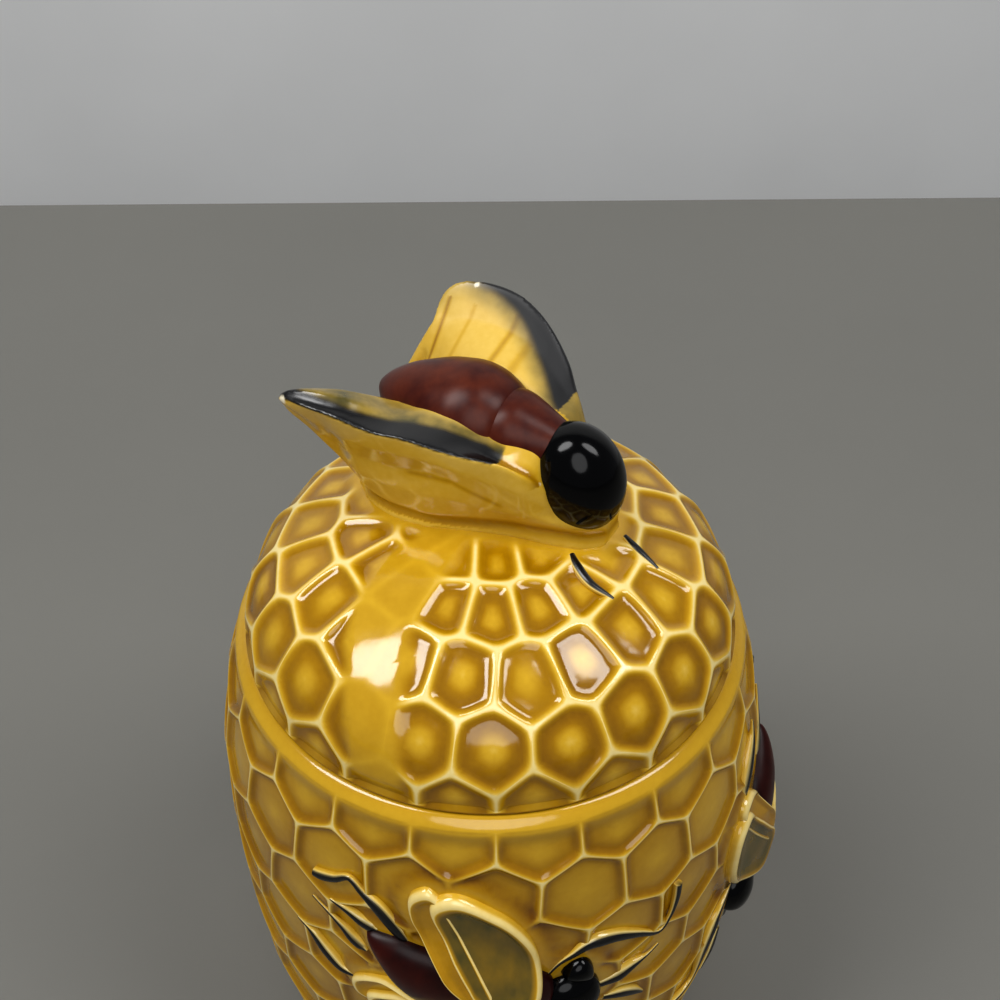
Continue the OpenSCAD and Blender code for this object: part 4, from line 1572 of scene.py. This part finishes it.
    def far_paint(self, own: Array) -> tuple[Array, Array, Array]:
        """Works out the brushwork on the far wing.

        Args:
            own: Points of the bee's frame.

        Returns:
            The shares of black, of olive and of satin.
        """
        x, y, z = own.T
        rim = spline([(s.x, *s.rim) for s in FAR_SIDE], 160)
        on_wing = (y > 5) & (z > 28)
        apart = np.full(len(x), 99.0)
        apart[on_wing] = np.linalg.norm(own[on_wing, None] - rim[None], axis=2).min(1)
        reach = np.interp(x, *np.array(self.far_band).T)
        black = (1 - smoothstep(reach - 1.3, reach + 0.7, apart)) * (x < 10.6) * (x > -13.4)
        cover = 0.35 + 0.45 * smoothstep(-14.5, -9, x)
        olive = on_wing * cover * (1 - smoothstep(reach, reach + 3.4, apart))
        inside = 1 - smoothstep(-1.5, 0.5, y - np.interp(x, rim[:, 0], rim[:, 1]))
        return black, olive, on_wing * smoothstep(30, 34, z) * inside

    def thickness(self, own: Array, black: Array) -> Array:
        """Works out how the glaze pools and where shade is painted: under the fold over the base, along the near
        wing's crease and valley, and along the far wing's folds.

        Args:
            own: Points of the bee's frame.
            black: The share of black there.

        Returns:
            The thickness of the glaze.
        """
        x, y, z = own.T
        fold = np.interp(x, [s.x for s in NEAR_SIDE], [s.fold[1] for s in NEAR_SIDE])
        # A darker band under the base's fold: glaze pooled in the undercut, and painted shade under the overhang.
        glaze = 0.30 + 0.40 * bell(z - fold + 1.7, 1.0) * (y < 4) * (x > -17)
        # A darker line along the near wing's crease: pooled glaze and painted shade.
        crease = np.interp(x, [-4, 2.5, 9.5], [32.4, 33.0, 29.6])
        along = smoothstep(-5.5, -4, x) * (1 - smoothstep(8.5, 10, x))
        glaze += 0.30 * bell(z - crease, 0.45) * (y < -8) * along
        # A darker valley between the near wing's root and the thorax: pooled glaze and painted shade.
        valley = np.interp(x, [6, 10, 13], [-8.9, -8.0, -7.0])
        glaze += 0.5 * bell(y - valley, 0.8) * (z > 33) * smoothstep(5.5, 7.5, x) * (y < -3)
        # Darker lines along the far wing's folds, which have no relief of their own: painted shade of the folds, with
        # pooled glaze.
        for at, thick, width in self.fold_pools_and_shade:
            glaze += thick * bell(x - at, width) * (y > 5) * (z > 34) * (y < 16)
        glaze -= 0.08 * smoothstep(36, 40, z) * (black < 0.5)
        return np.where(z - self.ground(own[:, :2]) < 0.5, 0.32, glaze)

    def paint(self, piece: bpy.types.Object) -> None:
        """Paints the black bands, the olive wash, the painted shade in the folds, the bare chips and one painted white
        glint as attributes.

        Args:
            piece: The base with the wings.
        """
        own = self.own(vertices(piece))
        near_black, near_olive = self.near_paint(own)
        far_black, far_olive, satin = self.far_paint(own)
        black = np.maximum(near_black, far_black)
        # Bare chips, and one painted white glint on the far wing's rim
        chip_and_glint = np.zeros(len(own))
        for at, size in self.chips_and_glint:
            away = np.linalg.norm(own - np.array(at), axis=1)
            chip_and_glint = np.maximum(chip_and_glint, 1 - smoothstep(size * 0.7, size, away))
        layers = {"black": black, "olive": np.maximum(near_olive, far_olive), "glaze": self.thickness(own, black),
                  "chip_and_glint": chip_and_glint, "satin": satin}
        for key, values in layers.items():
            set_layer(piece.data, key, np.clip(values, 0, 1))

    def build(self, kiln: Kiln) -> None:
        """Makes the bee's pieces and dresses them.

        Args:
            kiln: The glazes.
        """
        clay = (self.core(), self.wedge(NEAR_SIDE, -1, *self.near_edge), self.wedge(FAR_SIDE, 1, *self.far_edge),
                self.blade(self.hindwing))
        body = make_piece("bee_base_and_wings", *merged([(self.on_lid(p), outward(p, f)) for p, f in clay]))
        weld(body, self.voxel * MM, self.smoothing)
        self.paint(body)
        dress(body, kiln.honey, Body.LID, ["finial_" + name for name in (
            "mound", "right_forewing", "right_hindwing", "left_forewing", "left_hindwing")])
        for name, (p, f), glaze, slot in (("abdomen", self.turned(self.abdomen), kiln.brown, Slot.BROWN),
                                          ("thorax", self.turned(self.thorax), kiln.brown, Slot.BROWN),
                                          ("head", self.egg(self.head_at, self.head_size), kiln.black, Slot.BLACK)):
            piece = make_piece("bee_" + name, self.on_lid(p), outward(p, f))
            dress(piece, glaze, Body.LID, ["finial_" + name])
        strokes = Strokes("bee_feelers", self.on_dome, self.dome_rise, self.feelers)
        dress(strokes.build(kiln.honey), kiln.honey, Body.LID, ["finial_feelers"])

    def on_dome(self, flat: Array, height: Array) -> Array:
        """Puts points of the plan on the dome, at heights over it."""
        return np.column_stack([flat, self.form.dome_z(np.linalg.norm(flat, axis=1)) + height])

    def dome_rise(self, points: Array) -> Array:
        """Returns how far points stand over the dome."""
        return points[:, 2] - self.form.dome_z(np.linalg.norm(points[:, :2], axis=1))


def weld(piece: bpy.types.Object, voxel: float, smoothing: int) -> None:
    """Makes the overlapping shapes of a piece one closed skin with soft creases.

    Args:
        piece: The piece.
        voxel: Size of the skin's cells in metres.
        smoothing: How many times the skin is smoothed.
    """
    remesh = piece.modifiers.new("weld", "REMESH")
    remesh.mode = "VOXEL"
    remesh.voxel_size = voxel
    remesh.use_smooth_shade = True
    soften = piece.modifiers.new("soften", "SMOOTH")
    soften.factor = 0.5
    soften.iterations = smoothing
    graph = bpy.context.evaluated_depsgraph_get()
    made = bpy.data.meshes.new_from_object(piece.evaluated_get(graph), depsgraph=graph)
    piece.modifiers.clear()
    keep_mesh(piece, made)


@dataclass
class Strokes:
    """Legs and feelers as low ridges with a black top, made with a Geometry Nodes tree.

    A path's points are its place on the surface and the stroke's width there.
    """

    name: str
    place: Callable[[Array, Array], Array]
    rise: Callable[[Array], Array]
    paths: Sequence[Sequence[Triple]]
    sink: float = 0.55
    flank: float = 1.45
    steps: int = 40
    around: int = 20
    black_edge: Pair = (0.1, 0.4)

    def tree(self) -> MeshTree:
        """Builds the tree that draws a rounded tube of the stored width along each path.

        Returns:
            The tree.
        """
        tree = MeshTree("raised_stroke", ("Width Scale",), ("Points Round",))
        curve = tree.add("GeometryNodeMeshToCurve", {"Mesh": tree.given["Geometry"]})
        circle = tree.add("GeometryNodeCurvePrimitiveCircle", {"Radius": MM, "Resolution": tree.given["Points Round"]})
        scale = tree.math("MULTIPLY", tree.named("half_width"), tree.given["Width Scale"])
        tube = tree.add("GeometryNodeCurveToMesh", {
            "Curve": curve.outputs[0], "Profile Curve": circle.outputs[0], "Scale": scale, "Fill Caps": True})
        tree.end(tube.outputs[0])
        return tree

    def build(self, glaze: bpy.types.Material) -> bpy.types.Object:
        """Makes the strokes as one piece, black on top and pale along their flanks.

        Args:
            glaze: The material.

        Returns:
            The piece.
        """
        points, edges, half = [], [], []
        for path in self.paths:
            rows = spline(np.array(path, float), self.steps)
            wide = np.clip(rows[:, 2], 0.12, None) * self.flank / 2
            edges += [(len(points) + i, len(points) + i + 1) for i in range(self.steps - 1)]
            points.extend(self.place(rows[:, :2], -self.sink * wide))
            half.extend(wide)
        points, half = np.array(points), np.array(half)
        mesh = bpy.data.meshes.new(self.name)
        mesh.from_pydata((points * MM).tolist(), edges, [])
        set_layer(mesh, "half_width", half)
        piece = linked(self.name, mesh)
        self.tree().run(piece, {"Points Round": self.around, "Width Scale": 1.0, "Material": glaze})
        made = vertices(piece)
        nearest = np.linalg.norm(made[:, None] - points[None], axis=2).argmin(1)
        share = self.rise(made) / ((1 - self.sink) * half[nearest])
        set_layer(piece.data, "black", smoothstep(*self.black_edge, share))
        set_layer(piece.data, "glaze", 0.3 * (1 - smoothstep(-0.6, 0.0, share)))
        return piece


BODY = {
    "abdomen": ((-20.6, 1.7, 0.2, 0.5), (-19.8, 1.5, 1.1, 1.4), (-18.0, 1.0, 2.4, 2.3), (-15.4, 0.2, 4.1, 3.1),
                (-12.4, -0.8, 5.6, 3.7), (-8.5, -1.4, 6.7, 4.0), (-4.0, -1.2, 6.5, 3.9), (0.0, -0.5, 5.0, 3.3),
                (1.6, -0.2, 3.0, 2.0)),
    "thorax": ((-1.4, 0.0, 1.8, 1.6), (0.2, 0.0, 4.2, 3.0), (3.3, 0.0, 6.0, 3.9), (6.4, 0.0, 5.9, 3.9),
               (9.2, 0.0, 4.4, 3.2), (10.4, 0.0, 2.0, 1.8)),
    "head": ((8.8, 0.0, 1.2, 1.2), (9.8, 0.0, 3.2, 2.6), (11.8, 0.0, 4.7, 3.6), (14.2, 0.0, 5.2, 3.9),
             (16.8, 0.0, 4.4, 3.4), (18.5, 0.0, 2.4, 2.1), (19.1, 0.0, 0.6, 0.8)),
    "knob": ((10.4, 6.0, 0.6, 1.0), (11.2, 6.4, 1.9, 2.0), (12.8, 6.7, 2.5, 2.4), (14.6, 6.2, 1.9, 2.1),
             (15.8, 5.4, 0.7, 1.2))}

FOREWING = ((-14.9, 15.4), (-14.0, 17.9), (-11.6, 19.3), (-7.6, 19.0), (-2.3, 17.2), (2.6, 13.3), (5.8, 8.2),
            (7.3, 3.2), (6.3, 0.9), (2.0, 0.6), (-1.9, 2.0), (-4.6, 4.6), (-8.8, 8.6), (-12.4, 12.2))
HINDWING = ((-18.2, 14.4), (-17.8, 16.6), (-16.2, 18.0), (-13.4, 16.8), (-8.0, 11.6), (-2.0, 5.6), (1.0, 1.8),
            (-1.4, 0.6), (-5.4, 2.4), (-9.2, 5.2), (-14.0, 8.9), (-16.6, 11.4))
BED = ((-20.0, 4.0, 0.4), (-15.0, 10.0, 2.8), (-8.0, 13.0, 4.1), (0.0, 12.0, 3.9), (6.0, 10.5, 3.4), (11.0, 8.5, 2.6))

LEGS = (((-32.5, 4.3, 1.1), (-31.1, 5.2, 1.3), (-29.1, 7.3, 1.1), (-27.4, 9.8, 0.8), (-24.6, 8.9, 1.0),
         (-21.4, 7.8, 1.7), (-18.0, 5.9, 1.8), (-15.7, 4.4, 1.6), (-14.5, 3.6, 1.0)),
        ((-28.1, 1.8, 0.3), (-25.0, 2.3, 1.0), (-22.1, 2.2, 1.6), (-20.2, 2.4, 1.7), (-19.2, 2.6, 1.0)),
        ((-30.7, -1.3, 0.3), (-27.6, -1.8, 0.4), (-24.3, -2.8, 0.9), (-21.9, -4.0, 1.5), (-19.9, -4.6, 1.4),
         (-18.8, -4.8, 0.4)),
        ((-31.0, -12.8, 0.3), (-28.9, -12.7, 0.6), (-27.2, -13.1, 1.2), (-24.0, -14.8, 1.8), (-20.4, -16.1, 1.5),
         (-17.7, -15.2, 0.4)),
        ((27.0, 21.4, 1.0), (27.9, 18.1, 0.9), (28.2, 14.0, 0.6), (27.1, 11.0, 0.6), (21.9, 12.4, 1.1),
         (17.6, 13.1, 1.7), (14.4, 12.7, 2.0), (12.4, 11.7, 1.5), (10.9, 9.8, 1.0), (9.3, 7.5, 0.6), (8.6, 4.4, 0.4)),
        ((28.6, 7.5, 0.3), (27.0, 5.4, 0.5), (24.9, 3.8, 1.4), (22.7, 2.0, 2.2), (20.2, 0.8, 1.5), (18.0, 0.0, 1.0)),
        ((31.4, -5.8, 0.5), (29.0, -4.7, 1.4), (26.0, -3.9, 1.7), (22.0, -3.7, 1.0)),
        ((7.6, -6.7, 0.4), (10.6, -11.4, 1.0), (13.6, -12.9, 2.0), (19.0, -13.6, 1.6), (26.6, -12.8, 0.6),
         (28.9, -15.2, 0.7), (29.6, -20.0, 1.0)))


@dataclass
class RaisedBee:
    """A bee in relief on the pot's wall: u runs along its heading and v to its left."""

    form: HiveForm
    name: str
    turn: float
    drop: float
    heading: float
    wing_t: float = 1.2
    wing_dip: float = 0.7
    lute: float = 1.6
    around: int = 40
    stations: int = 34
    wing_lift: float = 0.5
    border_from: float = 0.9
    near_by: float = 45.0
    spot_in: float = 0.75
    body_glaze: Pair = (0.6, 0.35)
    wash_edge: Pair = (0.78, 0.86)
    border_glaze: float = 0.04
    web_glaze: float = 0.62
    leaf_rings: tuple[float, ...] = (1, 1, 0.997, 0.985, 0.965, 0.945, 0.92, 0.89, 0.86, 0.82, 0.78, 0.74, 0.68, 0.6,
                                     0.5, 0.38, 0.25, 0.12)

    def on_wall(self, flat: Array, height: Array | float) -> Array:
        """Puts points of the bee's own frame on the wall.

        Args:
            flat: Their u and v.
            height: How far out of the wall.

        Returns:
            The points.
        """
        c, s = math.cos(math.radians(self.heading)), math.sin(math.radians(self.heading))
        u, v = flat[..., 0], flat[..., 1]
        z = self.form.seat_z - self.drop + u * s + v * c
        x = math.radians(self.turn) * self.form.belly_r + u * c - v * s
        points, _ = self.form.wall_place(np.stack([x, z], -1))
        out = unit(points * [1, 1, 0])
        return points + out * np.broadcast_to(height, u.shape)[..., None]

    def off_wall(self, points: Array) -> Array:
        """Reads the bee's own u and v of points of the pot.

        Args:
            points: The points.

        Returns:
            Their u and v.
        """
        c, s = math.cos(math.radians(self.heading)), math.sin(math.radians(self.heading))
        turn = np.arctan2(points[:, 0], -points[:, 1]) - math.radians(self.turn)
        x = ((turn + math.pi) % (2 * math.pi) - math.pi) * self.form.belly_r
        z = points[:, 2] - self.form.seat_z + self.drop
        return np.stack([c * x + s * z, c * z - s * x], 1)

    def rise(self, points: Array) -> Array:
        """Returns how far points stand out of the wall."""
        return np.linalg.norm(points[:, :2], axis=1) - self.form.wall_r(points[:, 2])

    def clearance(self, points: Array) -> Array:
        """Measures how far points of the pot lie from the bee's wings and body.

        Args:
            points: The points.

        Returns:
            The distances, 0 on the bee.
        """
        flat = self.off_wall(points)
        nearest = np.full(len(flat), 99.0)
        close = np.abs(flat).max(1) < self.near_by
        spots = [(u, v, w) for rows in BODY.values() for u, v, w, _ in rows]
        for wing in (FOREWING, HINDWING):
            middle = np.mean(wing, 0)
            for side in (1, -1):
                for point in spline(wing, 40, closed=True):
                    inner = middle + (point - middle) * self.spot_in
                    spots.append((inner[0], side * inner[1], (1 - self.spot_in) * np.linalg.norm(point - middle)))
        for u, v, w in spots:
            away = np.hypot(flat[close, 0] - u, flat[close, 1] - v) - w
            nearest[close] = np.minimum(nearest[close], away)
        return np.clip(nearest, 0, None)

    def bed(self, u: Array, v: Array) -> Array:
        """Works out the height of the body under the wings.

        Args:
            u: Places along the bee.
            v: Places to its left.

        Returns:
            The heights.
        """
        rows = np.array(BED)
        half, tall = (np.interp(u, rows[:, 0], rows[:, k]) for k in (1, 2))
        return tall * np.clip(1 - (v / half) ** 2, 0, 1) ** 2

    def dome(self, key: str) -> tuple[Array, list, Array]:
        """Makes a rounded body on the wall through its stations.

        Args:
            key: The body's part.

        Returns:
            The points, the faces, and how far each point lies to the side.
        """
        rows = spline(np.array(BODY[key]), self.stations)
        turn = 2 * np.pi * np.arange(self.around) / self.around
        across, up = np.cos(turn), np.sin(turn)
        half, tall = np.clip(rows[:, 2:3], 0.1, None), np.clip(rows[:, 3:4], 0.1, None)
        flat = np.stack([rows[:, :1] + 0 * across, rows[:, 1:2] + half * across], -1)
        height = np.where(up > 0, tall * up, self.lute * up)
        points = self.on_wall(flat, height)
        p, f = closed_loft(points, points[0].mean(0), points[-1].mean(0))
        return p, outward(p, f), np.concatenate([np.tile(np.abs(across), len(rows)), [0.5, 0.5]])

    def leaf(self, outline: Sequence[Pair], side: int, lift: float) -> tuple[Array, list, Array]:
        """Makes a wing with a raised border that lies over the body.

        Args:
            outline: The wing's outline.
            side: 1 for the left and -1 for the right.
            lift: Height over the body.

        Returns:
            The points, the faces, and each point's share of the way to the edge.
        """
        share = np.array(self.leaf_rings)
        edge = spline(outline, 84, closed=True) * [1, side]
        middle = edge.mean(0)
        flat = middle + (edge - middle)[None] * share[:, None, None]
        rounding = 1 - self.border_from
        border = np.sqrt(np.clip(1 - (np.clip(share - self.border_from, 0, rounding) / rounding) ** 2, 0, 1))
        height = (self.wing_t * border - self.wing_dip * (1 - smoothstep(0.66, 0.88, share)))[:, None] + lift
        height = height + self.bed(flat[..., 0], flat[..., 1])
        height[0] = -self.lute
        points = self.on_wall(flat, height)
        tip = self.on_wall(middle[None], height[-1].mean())[0]
        p, f = closed_loft(points, points[0].mean(0), tip)
        return p, outward(p, f), np.concatenate([np.repeat(share, len(edge)), [1, 0]])

    def piece(self, part: str, shapes: Sequence[tuple], finish: bpy.types.Material, slot: Slot,
              **paint: Array) -> None:
        """Makes one piece of the bee from closed shapes and dresses it."""
        made = make_piece(f"{self.name}_{part}_clay", *merged(shapes), **paint)
        dress(made, finish, Body.POT, [f"{self.name}_{part}"])

    def build(self, kiln: Kiln) -> None:
        """Makes the bee's pieces and dresses them.

        Args:
            kiln: The glazes.
        """
        thin, more = self.body_glaze
        for part, keys, finish, slot in (("abdomen", ("abdomen",), kiln.brown, Slot.BROWN),
                                         ("thorax", ("thorax",), kiln.brown, Slot.BROWN),
                                         ("head", ("head", "knob"), kiln.black, Slot.BLACK)):
            made = [self.dome(key) for key in keys]
            sides = np.concatenate([side for _, _, side in made])
            self.piece(part, [m[:2] for m in made], finish, slot, glaze=thin + more * sides)
        for part, outline, lift, wash in (("forewings", FOREWING, self.wing_lift, 1.0),
                                          ("hindwings", HINDWING, 0.0, 0.0)):
            made = [self.leaf(outline, side, lift) for side in (1, -1)]
            share = np.concatenate([m[2] for m in made])
            self.piece(part, [m[:2] for m in made], kiln.honey, Slot.WING,
                       olive=wash * (1 - smoothstep(*self.wash_edge, share)),
                       glaze=np.where(share > self.wash_edge[1], self.border_glaze, self.web_glaze)
                       + 0.3 * smoothstep(0.98, 1.0, share))
        strokes = Strokes(f"{self.name}_legs_clay", self.on_wall, self.rise, LEGS)
        dress(strokes.build(kiln.honey), kiln.honey, Body.POT, [f"{self.name}_legs"])


@dataclass(frozen=True)
class Studio:
    """The table, the wall behind it, two soft boxes and the camera."""

    table_back: float = 0.271
    wall_y: float = 0.62
    half_width: float = 1.6
    lamp_h: float = 1.05
    lamp_power: float = 5.9
    left_share: float = 1.35
    fill_power: float = 2.0
    fill_at: Triple = (0.0, -0.66, 0.70)
    fill_size: float = 0.60
    sky: Colour = (0.84, 0.86, 0.90)
    sky_strength: float = 0.2
    lamp_side: float = 0.6
    lamp_near: float = 0.14
    lamp_width: float = 0.40
    lamp_depth: float = 0.80
    object_middle: Triple = (0, 0, 0.08)
    object_h: float = 0.11
    table_colour: Colour = linear(114, 113, 108)
    wall_colour: Colour = linear(236, 236, 234)
    mottle_scale: float = 9
    mottle: Pair = (0.93, 1.05)
    matt: float = 0.6
    eye: Triple = (0.0, -0.1618, 0.2757)
    forward: Triple = (0.0070, 0.7223, -0.6915)
    up: Triple = (0.0093, 0.6915, 0.7223)
    focal_px: float = 1500.0
    frame_px: float = 1000.0
    sensor: float = 36.0

    def slab(self, name: str, corners: Sequence[Sequence[float]], colour: Colour) -> None:
        """Makes a flat stage piece with a faintly mottled matt finish.

        Args:
            name: Its name.
            corners: Its corners.
            colour: Its colour.
        """
        mesh = bpy.data.meshes.new(name)
        mesh.from_pydata([tuple(c) for c in corners], [], [tuple(range(len(corners)))])
        slab = linked(name, mesh)
        material = bpy.data.materials.new(name)
        material.use_nodes = True
        wiring = Wiring(material.node_tree)
        place = wiring.add("ShaderNodeTexCoord").outputs["Object"]
        noise = wiring.add("ShaderNodeTexNoise", {"Vector": place, "Scale": self.mottle_scale, "Detail": 4})
        ramp = wiring.add("ShaderNodeValToRGB", {0: noise.outputs[0]})
        for element, share in zip(ramp.color_ramp.elements, self.mottle):
            element.color = (*(c * share for c in colour), 1)
        shader = wiring.nodes["Principled BSDF"].inputs
        wiring.feed(shader["Base Color"], ramp.outputs[0])
        shader["Roughness"].default_value = self.matt
        mesh.materials.append(material)

    def lamp(self, name: str, place: Triple, size: Pair, power: float) -> None:
        """Adds an oval lamp that looks at the object.

        Args:
            name: Its name.
            place: Where it hangs.
            size: Width and depth.
            power: Its power in watts.
        """
        lamp = bpy.data.lights.new(name, "AREA")
        lamp.shape = "ELLIPSE"
        lamp.size, lamp.size_y = size
        lamp.energy = power
        holder = linked(name, lamp)
        holder.location = place
        holder.rotation_mode = "QUATERNION"
        holder.rotation_quaternion = (Vector(self.object_middle) - Vector(place)).to_track_quat("-Z", "Y")

    def build(self) -> None:
        """Makes the stage, the lights and the camera."""
        w = self.half_width
        self.slab("table", [(-w, -w, 0), (w, -w, 0), (w, self.table_back, 0), (-w, self.table_back, 0)],
                  self.table_colour)
        self.slab("backdrop", [(-w, self.wall_y, -w), (w, self.wall_y, -w), (w, self.wall_y, w),
                               (-w, self.wall_y, w)], self.wall_colour)
        h = self.lamp_h
        for name, side, share in (("soft_box_left", -1, self.left_share), ("soft_box_right", 1, 1.0)):
            self.lamp(name, (side * self.lamp_side * h, -self.lamp_near * h, h + self.object_h),
                      (self.lamp_width * h, self.lamp_depth * h), self.lamp_power * share)
        self.lamp("fill", self.fill_at, (self.fill_size, self.fill_size), self.fill_power)
        world = bpy.data.worlds.new("soft_room")
        world.use_nodes = True
        glow = world.node_tree.nodes["Background"].inputs
        glow["Color"].default_value = (*self.sky, 1)
        glow["Strength"].default_value = self.sky_strength
        bpy.context.scene.world = world
        bpy.context.scene.view_settings.view_transform = "Standard"
        bpy.context.scene.view_settings.look = "Medium High Contrast"
        data = bpy.data.cameras.new("camera")
        data.sensor_width = self.sensor
        data.lens = self.focal_px / self.frame_px * self.sensor
        data.clip_start, data.clip_end = 0.01, 20
        camera = linked("camera", data)
        ahead, above = Vector(self.forward).normalized(), Vector(self.up).normalized()
        side = ahead.cross(above).normalized()
        above = side.cross(ahead)
        camera.matrix_world = Matrix.Translation(self.eye) @ Matrix((side, above, -ahead)).transposed().to_4x4()
        bpy.context.scene.camera = camera


def main() -> None:
    """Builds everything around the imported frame, in order."""
    logging.basicConfig(level=logging.INFO, format="%(name)s: %(message)s")
    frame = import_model()
    LOG.info("frame: %d nodes on %s", len(frame["nodes"]), ", ".join(sorted(frame["bodies"])))
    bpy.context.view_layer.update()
    _, pot_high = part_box("pot")
    lid_low, lid_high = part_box("lid")
    form = HiveForm(seat_z=pot_high.z / MM, lid_r=lid_high.x / MM)
    LOG.info("seat at %.2f mm, lid radius %.2f mm, skirt end at %.2f mm", form.seat_z, form.lid_r, lid_low.z / MM)
    kiln = Kiln()
    bees = [RaisedBee(form, name, turn, drop, heading) for name, turn, drop, heading in (
        ("front_bee", -1.5, 35, -21), ("right_bee", 78, 46, -106), ("back_bee", -131, 39, 158))]
    HoneyPot(form, bees).build(kiln)
    handle = BeeHandle(form)
    Lid(form, handle).build(kiln)
    handle.build(kiln)
    for bee in bees:
        bee.build(kiln)
    Studio().build()
    bpy.context.view_layer.update()


if __name__ == "__main__":
    main()
